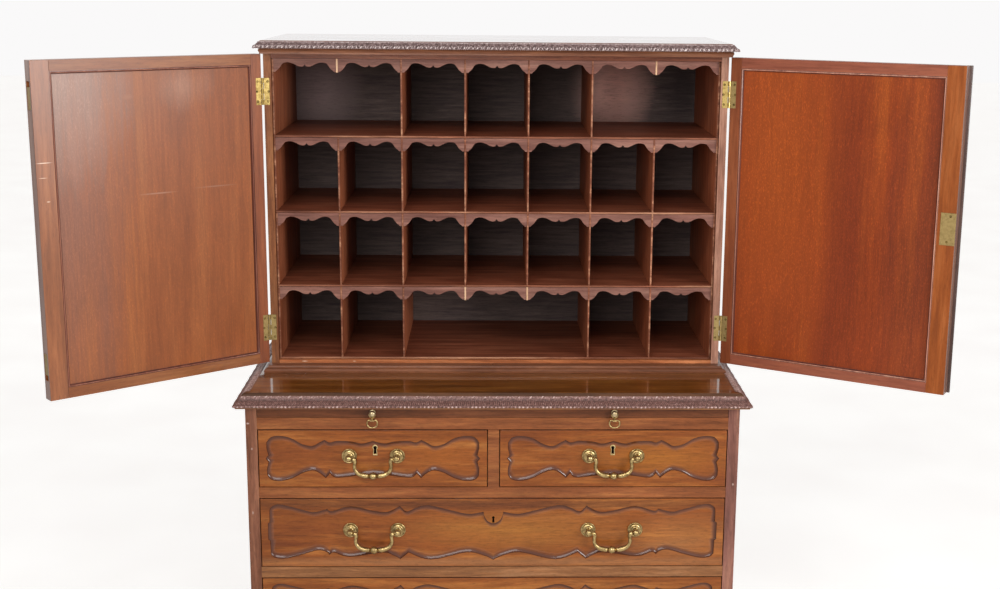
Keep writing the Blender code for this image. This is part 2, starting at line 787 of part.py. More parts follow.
def tier(number, root):
    """One row of pigeonholes: shelf, end panels, dividers, stubs and the scalloped valances."""
    high = nest_top - (number - 1) * tier_pitch - shelf_board * (number > 1) - fit
    floor = nest_top - number * tier_pitch
    full = {1: (2, 3, 4, 5), 2: range(1, columns), 3: range(1, columns), 4: (1, 2, 5, 6)}[number]
    name = "pigeonhole_tier_%d" % number
    walls = [(index - columns / 2) * pitch for index in range(columns + 1)]
    comb = [(nest_half, floor - shelf_board), (-nest_half, floor - shelf_board)]
    for index, x in enumerate(walls):
        left = [(x - leaf_board / 2, floor), (x - leaf_board / 2, high)]
        right = [(x + leaf_board / 2, high), (x + leaf_board / 2, floor)]
        if index == 0:
            comb += [left[1]] + right
        elif index == columns:
            comb += left + [right[0]]
        elif index in full:
            comb += left + right
    depth = nest_back - nest_front
    piece = add_piece(name, outline_mesh(name, comb, depth), "inside", root, (0, nest_front + depth / 2, 0))
    stations = []
    for left in walls[:-1]:
        half_arch = [(left + pitch * x, valance_deep * z) for x, z in valance_half_shares]
        stations += half_arch
        stations.append((left + pitch / 2, valance_deep * valance_notch_share))
        stations += [(2 * left + pitch - x, drop) for x, drop in reversed(half_arch)]
    stations = [(walls[0], valance_deep)] + stations + [(walls[-1], valance_deep)]
    face = nest_front + valance_inset
    rings = []
    for x, drop in stations:
        corners = ((face, -fit), (face + valance_thick, -fit), (face + valance_thick, -drop), (face, -drop))
        rings.append([Vector((x, y, high + z)) for y, z in corners])
    valance = add_guide(name + "_valance", loft_mesh(name + "_valance", rings), root)
    join(piece, valance)
    for index in range(1, columns):
        if index not in full:
            x = walls[index]
            stub = box_guide(name + "_stub_%d" % index, (x - leaf_board / 2, x + leaf_board / 2),
                             (nest_front, nest_front + stub_deep), (high - valance_deep - overlap, high),
                             root)
            join(piece, stub)


def build_case(root):
    """The upper case with its mouldings and pigeonholes; root stands on the middle of its front edge."""
    back = (case_back_y, chest_depth)
    for name, side in (("case_side_left", -1), ("case_side_right", 1)):
        piece = board(name, span(side, case_inner, case_half), (case_set_back, chest_depth),
                      (case_low, case_high), "front", root)
        for z in hinge_heights():
            seat = box_guide(name + "_hinge_seat",
                             span(side, case_half - hinge_reach - fit, case_half + overrun),
                             (case_set_back - overrun, case_set_back + leaf_thick + fit),
                             (z - hinge_long / 2 - fit, z + hinge_long / 2 + fit), root)
            cut(piece, seat)
    inside = (-case_inner + fit, case_inner - fit)
    board("case_floor", inside, (case_set_back, case_back_y - fit),
          (case_low, nest_top - tiers * tier_pitch - shelf_board - fit), "front", root)
    board("case_top", inside, (case_set_back, case_back_y - fit), (nest_top, case_high), "front", root)
    board("case_back", inside, back, (case_low, case_high), "lining", root)
    for number in range(1, tiers + 1):
        tier(number, root)
    cornice = add_piece("cornice", moulded_slab_mesh(
        "cornice", case_half, case_set_back - cornice_cover, chest_depth, cornice_low, cornice_top,
        cornice_out, cornice_shares), "dark", root)
    seat_x = (-case_half - fit, case_half + fit)
    seat_y = (case_set_back - fit, chest_depth + overrun)
    seat = box_guide("cornice_seat", seat_x, seat_y, (cornice_low - overrun, case_high + fit), root)
    cut(cornice, seat)
    cut(cornice, socket("cornice_socket", cornice_low - overrun, cornice_low + socket_deep, root))
    waist = add_piece("waist_moulding", moulded_slab_mesh(
        "waist_moulding", case_half, case_set_back - waist_cover, chest_depth, case_low, waist_top,
        waist_out, waist_shares), "dark", root)
    seat = box_guide("waist_seat", seat_x, seat_y, (case_low - overrun, waist_top + overrun), root)
    cut(waist, seat)
    cut(waist, socket("waist_socket", waist_top - socket_deep, waist_top + overrun, root))


def hinge_heights():
    return (door_low + hinge_inset, door_high - hinge_inset)


def comb_outline(direction, near, tab, far, knuckles):
    """A hinge leaf seen from the front, with a tab to each of its knuckles."""
    low = -hinge_long / 2
    knuckle = hinge_long / 5
    points = [(direction * far, -low), (direction * far, low)]
    for index in range(5):
        start = low + index * knuckle
        reach = tab if index in knuckles else near
        inset = fit if index in knuckles else -fit
        first = start if index == 0 else start + inset
        last = -low if index == 4 else start + knuckle - inset
        points += [(direction * reach, first), (direction * reach, last)]
    return points


def hinge(name, side, z, root, door):
    """A butt hinge: the case leaf carries three knuckles and the pin, the door leaf two."""
    low = -hinge_long / 2
    knuckle = hinge_long / 5
    far = pin_out + hinge_reach
    near = knuckle_radius + fit
    case_y = door_gap / 2 + leaf_thick / 2
    profile = [(0, -low)]
    for index in reversed(range(5)):
        radius = knuckle_radius if index % 2 == 0 else hinge_pin_radius
        shrink = fit / 2 if index % 2 == 0 else -fit / 2
        high = low + (index + 1) * knuckle - (0 if index == 4 else shrink)
        base = low + index * knuckle + (0 if index == 0 else shrink)
        profile += [(radius, high), (radius, base)]
    profile.append((0, low))
    comb = comb_outline(-side, near, knuckle_radius * 0.4, far, (0, 2, 4))
    leaf = add_piece(name + "_case_leaf", outline_mesh(name + "_case_leaf", comb, leaf_thick), "brass",
                     root, (side * pin_x, pin_y, z))
    leaf.data.transform(Matrix.Translation((0, case_y, 0)))
    join(leaf, turned_guide(name + "_pin", profile, knuckle_steps, root, (side * pin_x, pin_y, z)))
    bore = hinge_pin_radius + pin_bore_gap
    comb = comb_outline(-side, near, bore + fit, far, (1, 3))
    swing = add_piece(name + "_door_leaf", outline_mesh(name + "_door_leaf", comb, leaf_thick), "brass",
                      door, (0, 0, z))
    swing.data.transform(Matrix.Translation((0, -case_y, 0)))
    rings = []
    for index in (1, 3):
        start = low + index * knuckle + fit
        stop = low + (index + 1) * knuckle - fit
        rings.append(((knuckle_radius, stop), (knuckle_radius, start), (bore, start), (bore, stop)))
    join(swing, turned_guide(name + "_barrel", rings, knuckle_steps, door, (0, 0, z), closed=True))


def frame_cutter_mesh(name, x, z):
    """The opening of a door frame, with a moulded edge towards both faces."""
    rings = []
    for y, grow in ((inner_face + overrun, frame_bead), (inner_face, frame_bead),
                    (inner_face - bead_deep, 0), (outer_face + bead_deep, 0), (outer_face, frame_bead),
                    (outer_face - overrun, frame_bead)):
        corners = ((x[0] - grow, z[0] - grow), (x[1] + grow, z[0] - grow),
                   (x[1] + grow, z[1] + grow), (x[0] - grow, z[1] + grow))
        rings.append([Vector((cx, y, cz)) for cx, cz in corners])
    return loft_mesh(name, rings)


def door(name, side, angle, root):
    """Frame and floating panel, in the frame of the hinge pin and shut before the pin is turned."""
    pin = empty(name + "_pin", (side * pin_x, pin_y, 0), root, side * math.radians(angle))
    frame = board(name + "_frame", span(-side, pin_out, door_edge), (outer_face, inner_face),
                  (door_low, door_high), "front", pin)
    window_x = span(-side, pin_out + hinge_stile, door_edge - meeting_stile)
    window_z = (door_low + door_rail, door_high - door_rail)
    window = add_guide(name + "_window", frame_cutter_mesh(name + "_window", window_x, window_z), pin)
    cut(frame, window)
    panel_y = (inner_face - panel_sink - panel_thick, inner_face - panel_sink)
    tongue = panel_tongue
    groove = box_guide(name + "_groove", (window_x[0] - tongue, window_x[1] + tongue),
                       (panel_y[0] - fit, panel_y[1] + fit), (window_z[0] - tongue, window_z[1] + tongue), pin)
    cut(frame, groove)
    tongue = panel_tongue - fit
    board(name + "_panel", (window_x[0] - tongue, window_x[1] + tongue), panel_y,
          (window_z[0] - tongue, window_z[1] + tongue), "panel", pin)
    for place_name, z in zip(("lower", "upper"), hinge_heights()):
        seat = box_guide(name + "_hinge_seat", span(-side, -overrun, pin_out + hinge_reach + fit),
                         (inner_face - leaf_thick - fit, inner_face + overrun),
                         (z - hinge_long / 2 - fit, z + hinge_long / 2 + fit), pin)
        cut(frame, seat)
        hinge("%s_%s_hinge" % (name, place_name), side, z, root, pin)
    return pin, frame


def flush_bolt(name, direction, pin, frame):
    """A brass bolt that slides up or down inside the meeting edge of the left door."""
    low, high = bolt_place(direction)
    end = door_high if direction > 0 else door_low
    room = bolt_rod / 2 + bolt_room
    rod_x = door_edge - bolt_inset
    travel = (min(0, direction * bolt_travel), max(0, direction * bolt_travel))
    mortise = box_guide(name + "_mortise", (rod_x - room, door_edge + overrun),
                        (mid_face - bolt_plate_wide / 2 - bolt_room, mid_face + bolt_plate_wide / 2 + bolt_room),
                        (low + travel[0] - bolt_room, high + travel[1] + bolt_room), pin)
    cut(frame, mortise)
    channel_z = ((low + high) / 2, end + direction * overrun)
    channel = box_guide(name + "_channel", (rod_x - room, rod_x + room), (mid_face - room, mid_face + room),
                        (min(channel_z), max(channel_z)), pin)
    cut(frame, channel)
    plate = board(name, (door_edge - fit - bolt_plate_thick, door_edge - fit),
                  (mid_face - bolt_plate_wide / 2, mid_face + bolt_plate_wide / 2), (low, high), "brass", pin)
    rod_z = ((low + high) / 2, end - direction * fit)
    rod = box_guide(name + "_rod", (rod_x - bolt_rod / 2, rod_x + bolt_rod / 2),
                    (mid_face - bolt_rod / 2, mid_face + bolt_rod / 2), (min(rod_z), max(rod_z)), pin)
    neck_z = (low + high) / 2
    neck = box_guide(name + "_neck", (rod_x - bolt_rod / 2, door_edge - fit - bolt_plate_thick / 2),
                     (mid_face - bolt_rod / 2, mid_face + bolt_rod / 2),
                     (neck_z - bolt_rod, neck_z + bolt_rod), pin)
    join(plate, neck)
    join(plate, rod)


def door_lock(pin, frame):
    """A cut lock let into the inner face of the right door, flush with its meeting edge."""
    mid_z = (door_low + door_high) / 2 + lock_rise
    plate_x = (-door_edge, -door_edge + lock_wide)
    body_x = (plate_x[0] + (lock_wide - lock_body_wide) / 2, plate_x[1] - (lock_wide - lock_body_wide) / 2)
    plate_z = (mid_z - lock_high / 2, mid_z + lock_high / 2)
    body_z = (mid_z - lock_body_high / 2, mid_z + lock_body_high / 2)
    plate_y = (inner_face - lock_plate_thick, inner_face)
    body_y = (inner_face - lock_body_deep, inner_face - lock_plate_thick / 2)
    lock = board("door_lock", plate_x, plate_y, plate_z, "brass", pin)
    body = box_guide("door_lock_body", body_x, body_y, body_z, pin)
    join(lock, body)
    seat = box_guide("door_lock_seat", (plate_x[0] - overrun, plate_x[1] + fit),
                     (plate_y[0] - fit, inner_face + overrun), (plate_z[0] - fit, plate_z[1] + fit), pin)
    cut(frame, seat)
    mortise = box_guide("door_lock_mortise", (body_x[0] - fit, body_x[1] + fit),
                        (body_y[0] - fit, inner_face),
                        (body_z[0] - fit, body_z[1] + fit), pin)
    cut(frame, mortise)


def closing_lip(pin, frame):
    """The moulded lip on the right door's outer face, which laps the left door when both are shut."""
    edge = -door_edge
    back = outer_face - fit
    front = outer_face - lip_thick
    section = (
        (edge + lip_inside, outer_face + overlap), (edge + fit, outer_face + overlap), (edge + fit, back),
        (edge - lip_reach, back), (edge - lip_reach, front + lip_arris),
        (edge - lip_reach + lip_arris, front),
        (edge + lip_inside - lip_arris, front), (edge + lip_inside, front + lip_arris),
    )
    rings = [[Vector((x, y, z)) for x, y in section] for z in (door_low, door_high)]
    lip = add_guide("closing_lip", loft_mesh("closing_lip", rings), pin)
    join(frame, lip)


def build_doors(root):
    left_pin, left_frame = door("left_door", -1, open_left, root)
    flush_bolt("flush_bolt_top", 1, left_pin, left_frame)
    flush_bolt("flush_bolt_bottom", -1, left_pin, left_frame)
    right_pin, right_frame = door("right_door", 1, open_right, root)
    door_lock(right_pin, right_frame)
    closing_lip(right_pin, right_frame)


def door_corner(side, angle, along, depth):
    """World x and y of a point of an open door, from its place in the shut door."""
    turn = side * math.radians(angle)
    x = -side * along
    return (side * pin_x + x * math.cos(turn) - depth * math.sin(turn),
            pin_y + x * math.sin(turn) + depth * math.cos(turn))


def middle_of_footprint():
    """The middle of the plan that the chest and the two open doors cover."""
    left = [door_corner(-1, open_left, along, depth) for along in (0, door_edge)
            for depth in (inner_face, outer_face)]
    right = [door_corner(1, open_right, along, depth) for along, depth in (
        (door_edge, inner_face), (door_edge, outer_face),
        (door_edge + lip_reach, outer_face - fit),
        (door_edge + lip_reach, outer_face - lip_thick + lip_arris),
        (door_edge + lip_reach - lip_arris, outer_face - lip_thick))]
    low_x = min(x for x, y in left) + case_shift
    high_x = max(x for x, y in right) + case_shift
    low_y = min([y for x, y in left + right] + [-top_edge_out])
    return ((low_x + high_x) / 2, (low_y + chest_depth) / 2)


def main():
    x, y = middle_of_footprint()
    root = empty("cabinet_origin", (-x, -y, 0))
    build_chest(root)
    build_slide(root)
    build_drawers(root)
    case_root = empty("case_origin", (case_shift, 0, 0), root)
    build_case(case_root)
    build_doors(case_root)


main()
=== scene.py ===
import json
import math

import bpy
from mathutils import Matrix, Vector

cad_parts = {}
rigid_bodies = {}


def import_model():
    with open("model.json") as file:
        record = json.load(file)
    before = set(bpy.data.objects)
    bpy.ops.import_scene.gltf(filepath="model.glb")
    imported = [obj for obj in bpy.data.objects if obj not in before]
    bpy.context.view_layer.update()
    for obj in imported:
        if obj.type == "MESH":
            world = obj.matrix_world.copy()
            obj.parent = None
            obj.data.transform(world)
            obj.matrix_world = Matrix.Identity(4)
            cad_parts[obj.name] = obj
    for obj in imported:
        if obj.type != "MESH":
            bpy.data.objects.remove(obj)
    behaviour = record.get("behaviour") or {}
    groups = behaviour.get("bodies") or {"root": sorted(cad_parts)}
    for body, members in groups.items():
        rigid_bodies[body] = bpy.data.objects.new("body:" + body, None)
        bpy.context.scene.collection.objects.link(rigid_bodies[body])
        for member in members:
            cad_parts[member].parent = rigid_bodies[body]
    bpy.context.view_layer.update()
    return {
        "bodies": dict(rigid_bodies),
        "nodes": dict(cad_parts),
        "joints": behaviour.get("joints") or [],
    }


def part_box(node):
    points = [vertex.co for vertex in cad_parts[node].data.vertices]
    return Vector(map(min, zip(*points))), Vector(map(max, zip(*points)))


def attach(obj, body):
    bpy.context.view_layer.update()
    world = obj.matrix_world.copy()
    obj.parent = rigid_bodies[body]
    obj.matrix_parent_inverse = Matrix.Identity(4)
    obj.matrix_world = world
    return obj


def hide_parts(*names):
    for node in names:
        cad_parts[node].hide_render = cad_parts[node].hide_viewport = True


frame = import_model()
nodes = frame["nodes"]
joints = {joint["name"]: joint for joint in frame["joints"]}
print("frame loaded:", len(nodes), "nodes")

# where things are, read off the frame
topLow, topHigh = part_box("chest_top")
midX = (topLow.x + topHigh.x) / 2                      # middle of the chest
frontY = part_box("chest_side_left")[0].y                # plane of the drawer fronts
fit = 0.0003                                           # gap between touching pieces
quarter = math.radians(90)                             # of a turn


# small helpers

def clearSelection():
    if bpy.context.object and bpy.context.object.mode != "OBJECT":
        bpy.ops.object.mode_set(mode="OBJECT")
    bpy.ops.object.select_all(action="DESELECT")


def takeHold(*pieces):
    clearSelection()
    for piece in pieces:
        piece.select_set(True)
    bpy.context.view_layer.objects.active = pieces[0]


def settle(piece):
    takeHold(piece)                                    # its place goes into its mesh
    bpy.ops.object.transform_apply(location=True, rotation=True, scale=True)


def addModifier(piece, kind, **settings):
    modifier = piece.modifiers.new(kind.lower(), kind)
    for key, value in settings.items():
        setattr(modifier, key, value)
    takeHold(piece)
    bpy.ops.object.modifier_apply(modifier=modifier.name)


def wholeMesh(piece):
    takeHold(piece)
    bpy.ops.object.mode_set(mode="EDIT")
    bpy.ops.mesh.select_all(action="SELECT")


def faceOutwards():
    bpy.ops.mesh.select_all(action="SELECT")
    bpy.ops.mesh.normals_make_consistent(inside=False)
    bpy.ops.object.mode_set(mode="OBJECT")


def drawOut(piece, steps):
    # a flat face is drawn through each move, and in or out by its share
    wholeMesh(piece)
    for move, share in steps:
        bpy.ops.mesh.extrude_region_move(TRANSFORM_OT_translate={"value": move})
        if share:
            bpy.ops.transform.resize(value=(share, share, 1))
    faceOutwards()


def weld(piece, distance):
    wholeMesh(piece)
    bpy.ops.mesh.remove_doubles(threshold=distance)
    bpy.ops.object.mode_set(mode="OBJECT")


def smooth(piece, angle=38):
    takeHold(piece)
    bpy.ops.object.shade_smooth_by_angle(angle=math.radians(angle))


def planed(piece, angle=38):
    smooth(piece, angle)                               # rounded arrises, flat faces kept truly flat
    addModifier(piece, "WEIGHTED_NORMAL", keep_sharp=True)


def block(name, x, y, z, arris=0.0, segments=2):
    clearSelection()
    middle = [(side[0] + side[1]) / 2 for side in (x, y, z)]
    bpy.ops.mesh.primitive_cube_add(size=1, location=middle)
    piece = bpy.context.object
    piece.name = name
    piece.scale = [abs(side[1] - side[0]) for side in (x, y, z)]
    settle(piece)
    if arris:
        addModifier(piece, "BEVEL", width=arris, segments=segments, limit_method="ANGLE")
    return piece


def mm(*rows):
    # a table in millimetres
    return [tuple(value / 1000 for value in row) for row in rows]


def mirrored(points):
    # the other half of a bent wire
    return list(points) + [(-x, *rest) for x, *rest in reversed(points[:-1])]


def flatFace(name, points):
    # one many-sided face through these points
    clearSelection()
    bpy.ops.mesh.primitive_circle_add(vertices=len(points), radius=1, fill_type="NGON")
    piece = bpy.context.object
    piece.name = name
    for vertex, point in zip(piece.data.vertices, points):
        vertex.co = point
    return piece


def turned(name, profile, steps=32):
    # a lathe job about Z: a disc drawn up through each (radius, height)
    clearSelection()
    bpy.ops.mesh.primitive_circle_add(vertices=steps, radius=profile[0][0], fill_type="NGON",
                                      location=(0, 0, profile[0][1]))
    piece = bpy.context.object
    piece.name = name
    settle(piece)
    drawOut(piece, [((0, 0, nextHeight - height), nextRadius / radius)
                    for (radius, height), (nextRadius, nextHeight) in zip(profile, profile[1:])])
    smooth(piece)
    return piece


def wire(name, stations, cyclic=False, sides=6):
    # a drawn wire through (x, y, z, radius)
    thickest = max(station[3] for station in stations)
    curve = bpy.data.curves.new(name, "CURVE")
    curve.dimensions = "3D"
    curve.bevel_depth = thickest
    curve.bevel_resolution = sides
    curve.use_fill_caps = not cyclic
    curve.resolution_u = 6
    spline = curve.splines.new("BEZIER")
    spline.bezier_points.add(len(stations) - 1)
    for point, (x, y, z, radius) in zip(spline.bezier_points, stations):
        point.co = (x, y, z)
        point.radius = radius / thickest
        point.handle_left_type = point.handle_right_type = "AUTO"
    spline.use_cyclic_u = cyclic
    piece = bpy.data.objects.new(name, curve)
    bpy.context.scene.collection.objects.link(piece)
    takeHold(piece)
    bpy.ops.object.convert(target="MESH")
    piece = bpy.context.object
    wholeMesh(piece)
    bpy.ops.mesh.remove_doubles(threshold=0.00001)
    faceOutwards()
    smooth(piece)
    return piece


def copyTo(model, name, move):
    twin = bpy.data.objects.new(name, model.data.copy())
    twin.data.transform(move)
    bpy.context.scene.collection.objects.link(twin)
    return twin


def joined(name, pieces):
    takeHold(*pieces)
    if len(pieces) > 1:
        bpy.ops.object.join()
    piece = bpy.context.object
    piece.name = name
    return piece


def discard(*pieces):
    for piece in pieces:
        bpy.data.objects.remove(piece, do_unlink=True)


def cutWith(piece, cutter, **settings):
    addModifier(piece, "BOOLEAN", object=cutter, operation="DIFFERENCE", solver="EXACT", **settings)
    discard(cutter)


def finish(piece, *materials):
    slots = piece.data.materials
    for index, material in enumerate(materials):
        if index < len(slots):
            slots[index] = material
        else:
            slots.append(material)


def pickFaces(piece, test, index=1):
    # faces that pass the test take another of the piece's finishes
    for face in piece.data.polygons:
        if test(face):
            face.material_index = index


def fitTo(piece, body, slot, *replaced):
    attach(piece, body)
    if replaced:
        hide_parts(*replaced)


# sunk field of a drawer front, shares of the half width and of the border

field = {
    "side": 0.0135, "border": 0.026, "depth": 0.0046, "slope": 0.0104, "tongue": 0.0490, "tongueHalf": 0.0437,
    "tongueSteps": 9, "thick": 0.022, "steps": 5, "coveSteps": 9, "arris": 0.0007, "gap": 0.0006,
    "above": 0.010, "shortTop": (
        ((0.0, 0.81), (0.105, 1.00), (0.20, 0.85), (0.334, 0.81), (0.40, 0.92), (0.45, 0.735)),
        ((0.45, 0.735), (0.495, 0.90), (0.567, 1.19), (0.66, 1.04), (0.755, 0.62), (0.856, 0.44),
         (0.945, 0.52), (0.990, 0.92)),
    ),
    "shortSide": ((0.992, 0.32), (0.975, 0.44), (1.0, 0.50), (0.975, 0.56), (0.992, 0.68)),
    "shortBottom": (
        ((0.990, 0.90), (0.955, 0.56), (0.87, 0.45), (0.755, 0.67), (0.66, 1.06), (0.567, 1.25),
         (0.506, 1.06), (0.445, 0.67)),
        ((0.445, 0.67), (0.406, 1.02)),
        ((0.406, 1.02), (0.343, 0.70), (0.153, 0.87), (0.0, 0.98)),
    ),
    "longTop": (
        ((0.048, 1.03), (0.1125, 1.17), (0.20, 0.85), (0.287, 0.515), (0.34, 0.68), (0.384, 0.98),
         (0.415, 0.546)),
        ((0.415, 0.546), (0.44, 0.80), (0.478, 1.02), (0.533, 0.93), (0.632, 0.59), (0.714, 0.95),
         (0.736, 0.79)),
        ((0.736, 0.79), (0.794, 1.02), (0.84, 0.87), (0.944, 0.44), (0.985, 0.65), (0.992, 1.10)),
    ),
    "longSide": ((0.992, 0.34), (1.0, 0.36), (1.0, 0.60), (0.992, 0.62)),
    "longBottom": (
        ((0.990, 0.95), (0.972, 0.70), (0.93, 0.63), (0.86, 0.90), (0.786, 1.26), (0.745, 1.15),
         (0.731, 0.92)),
        ((0.731, 0.92), (0.709, 1.085), (0.64, 0.754), (0.496, 1.085), (0.445, 0.85), (0.415, 0.58)),
        ((0.415, 0.58), (0.3775, 1.08)),
        ((0.3775, 1.08), (0.279, 0.53), (0.12, 1.08), (0.04, 0.82), (0.0, 0.50)),
    ),
}


# finishes

def linear(hexColour):
    channels = [int(hexColour[i:i + 2], 16) / 255 for i in (1, 3, 5)]
    return [c / 12.92 if c <= 0.04045 else ((c + 0.055) / 1.055) ** 2.4 for c in channels] + [1]


def plug(node, inputs):
    # a socket is linked, anything else becomes the input's own value
    for key, value in inputs.items() if isinstance(inputs, dict) else enumerate(inputs):
        if isinstance(value, bpy.types.NodeSocket):
            node.id_data.links.new(value, node.inputs[key])
        else:
            node.inputs[key].default_value = value


def addNode(tree, kind, inputs=(), out=0, stops=(), **settings):
    node = tree.nodes.new("ShaderNode" + kind)
    for key, value in settings.items():
        setattr(node, key, value)
    if stops:                                          # colour ramp: (place, hex or grey)
        ramp = node.color_ramp.elements
        while len(ramp) < len(stops):
            ramp.new(0.5)
        for stop, (place, colour) in zip(ramp, stops):
            stop.position = place
            stop.color = linear(colour) if isinstance(colour, str) else (colour, colour, colour, 1)
    plug(node, inputs)
    return node.outputs[out]


def newMaterial(name, inputs):
    material = bpy.data.materials.new(name)
    material.use_nodes = True
    shader = material.node_tree.nodes["Principled BSDF"]
    plug(shader, inputs)
    return material, material.node_tree, shader


def doorPlace(side):
    # pin of the door and how far it is turned from shut
    joint = joints["left_door_hinge" if side < 0 else "right_door_hinge"]
    turn = math.radians(joint["range_deg"][0])
    return Vector((joint["pos_m"][0], joint["pos_m"][1], 0)), -side * turn


woodLook = {"seed": 0.0, "ribbon": 0.03, "stretch": 0.07, "wave": 0.02, "waveScale": 3.0, "fibre": 0.16,
            "pore": 0.35, "fleck": 0.16, "fleckScale": 480.0, "patch": 0.12, "rough": 0.42, "coat": 0.12,
            "coatRough": 0.18, "specular": 0.15, "bump": 0.18, "marks": ()}


def mahogany(name, base, tones=None, **settings):
    # French-polished mahogany: ribbons and fibres run with the grain, short dark pores, a soft coat on top.
    # tones: dark, mid and light; marks: centre, reach, colour, and how far the figure breaks up the edge
    look = {**woodLook, **base, **settings}
    material, tree, shader = newMaterial(name, {
        "Coat Weight": look["coat"], "Coat Roughness": look["coatRough"], "IOR": 1.5,
        "Specular IOR Level": look["specular"]})
    coords = addNode(tree, "TexCoord", out="Object")
    if "door" in look:
        pin, turn = doorPlace(look["door"])
        coords = addNode(tree, "Mapping", {"Vector": coords,
                                           "Location": Matrix.Rotation(-turn, 3, "Z") @ -pin,
                                           "Rotation": (0, 0, -turn)})
    wander = addNode(tree, "TexNoise", {"Vector": coords, "Scale": look["waveScale"], "Detail": 2.0,
                                        "Roughness": 0.5}, "Color")
    bend = addNode(tree, "VectorMath", (wander, [look["wave"]] * 3, coords), operation="MULTIPLY_ADD")
    away = [look["seed"] * share for share in (1.37, 0.73, 2.11)]
    offset = addNode(tree, "VectorMath", (bend, away), operation="ADD")
    flows = []
    for share in (look["stretch"], look["fleck"]):
        stretch = [share if axis == look["grain"] else 1.0 for axis in "xyz"]
        flows.append(addNode(tree, "Mapping", {"Vector": offset, "Scale": stretch}))
    ribbon = addNode(tree, "TexNoise", {"Vector": flows[0], "Scale": 1.0 / look["ribbon"], "Detail": 8.0,
                                        "Roughness": 0.62})
    ground = addNode(tree, "ValToRGB", (ribbon,),
                     stops=list(zip((0.32, 0.50, 0.68), (tones or look["tones"]).split())))
    # bundles of fibre about 4 mm apart, pores 2 mm wide and 12 mm long
    fibre = addNode(tree, "TexNoise", {"Vector": flows[0], "Scale": 260.0, "Detail": 6.0, "Roughness": 0.75})
    fibreShade = addNode(tree, "MapRange", (fibre, 0.3, 0.7, 1 - look["fibre"], 1 + look["fibre"]))
    pore = addNode(tree, "TexNoise", {"Vector": flows[1], "Scale": look["fleckScale"], "Detail": 3.0,
                                      "Roughness": 0.7})
    poreShade = addNode(tree, "MapRange", (pore, 0.52, 0.70, 1.0, 1 - look["pore"]))
    patch = addNode(tree, "TexNoise", {"Vector": offset, "Scale": 4.0, "Detail": 3.0, "Roughness": 0.6})
    patchShade = addNode(tree, "MapRange", (patch, 0.3, 0.7, 1 - look["patch"], 1 + look["patch"]))
    shade = addNode(tree, "Math", (fibreShade, poreShade), operation="MULTIPLY")
    shade = addNode(tree, "Math", (shade, patchShade), operation="MULTIPLY")
    colour = addNode(tree, "VectorMath", {0: ground, "Scale": shade}, operation="SCALE")
    for centre, reach, wearAndLightTone, streak in look["marks"]:  # knocks, paler figure in the wood, and patches of painted light, sheen and shade
        away = addNode(tree, "VectorMath", (coords, centre), operation="SUBTRACT")
        away = addNode(tree, "VectorMath", (away, reach), operation="DIVIDE")
        away = addNode(tree, "VectorMath", (away,), "Value", operation="LENGTH")
        ragged = addNode(tree, "Math", (fibre, 0.8, away), operation="MULTIPLY_ADD")
        ragged = addNode(tree, "Math", (ribbon, streak, ragged), operation="MULTIPLY_ADD")
        inside = addNode(tree, "MapRange", (ragged, 0.7 + streak * 0.35, 1.4 + streak * 0.6, 0.9, 0.0))
        wearAndLightColour = linear(wearAndLightTone)
        if streak:                                     # a streaked mark keeps the fibres and pores of the wood
            wearAndLightColour = addNode(tree, "VectorMath", {0: wearAndLightColour[:3], "Scale": shade}, operation="SCALE")
        colour = addNode(tree, "Mix", {0: inside, 6: colour, 7: wearAndLightColour}, 2, data_type="RGBA")
    if "cove" in look:                                 # painted shade: darkest just under the rim, fading towards the sunk ground
        place = addNode(tree, "SeparateXYZ", (coords,), "Y")
        sunk = addNode(tree, "MapRange", (place, frontY, frontY + field["depth"]))
        rimShade = addNode(tree, "ValToRGB", (sunk,), stops=(
            (0.0, 0.75), (0.30, 1.0), (0.82, 0.88), (0.96, 0.40), (0.998, 0.0)))
        colour = addNode(tree, "Mix", {0: rimShade, 6: colour, 7: linear(look["cove"])}, 2, data_type="RGBA")
    rough = addNode(tree, "MapRange", (patch, 0.3, 0.7, look["rough"] - 0.06, look["rough"] + 0.08))
    bump = addNode(tree, "Bump", {"Height": shade, "Strength": look["bump"], "Distance": 0.0004})
    plug(shader, {"Base Color": colour, "Roughness": rough, "Normal": bump})
    return material


def carvedMahogany(name, tones):
    # carved and darkened mahogany: polish gathered in the hollows, high spots paler, partly dust and partly a
    # painted glint
    material, tree, shader = newMaterial(name, {"Coat Weight": 0.15, "Coat Roughness": 0.25, "IOR": 1.5,
                                                "Roughness": 0.5, "Specular IOR Level": 0.25})
    coords = addNode(tree, "TexCoord", out="Object")
    relief = addNode(tree, "Attribute", out="Fac", attribute_name="relief")
    noise = addNode(tree, "TexNoise", {"Vector": coords, "Scale": 330.0, "Detail": 4.0, "Roughness": 0.7})
    mixed = addNode(tree, "Math", (noise, 2.0, relief), operation="MULTIPLY_ADD")
    mixed = addNode(tree, "Math", (mixed, 0.6, -0.29), operation="MULTIPLY_ADD")
    # the last tone is a painted glint of light on the highest spots
    ground = addNode(tree, "ValToRGB", (mixed,), stops=list(zip((0.16, 0.40, 0.64, 0.80), tones.split())))
    bump = addNode(tree, "Bump", {"Height": noise, "Strength": 0.5, "Distance": 0.0008})
    plug(shader, {"Base Color": ground, "Normal": bump})
    return material


def brass(name, pale, tarnish, polish):
    # lacquered brass, browned where the lacquer has gone
    material, tree, shader = newMaterial(name, {"Metallic": 1.0, "Coat Weight": 0.2, "Coat Roughness": 0.2})
    coords = addNode(tree, "TexCoord", out="Object")
    cloud = addNode(tree, "TexNoise", {"Vector": coords, "Scale": 160.0, "Detail": 4.0, "Roughness": 0.65})
    ground = addNode(tree, "ValToRGB", (cloud,), stops=((0.36, tarnish), (0.58, pale)))
    rough = addNode(tree, "MapRange", (cloud, 0.3, 0.7, polish + 0.14, polish))
    bump = addNode(tree, "Bump", {"Height": cloud, "Strength": 0.15, "Distance": 0.0004})
    plug(shader, {"Base Color": ground, "Roughness": rough, "Normal": bump})
    return material


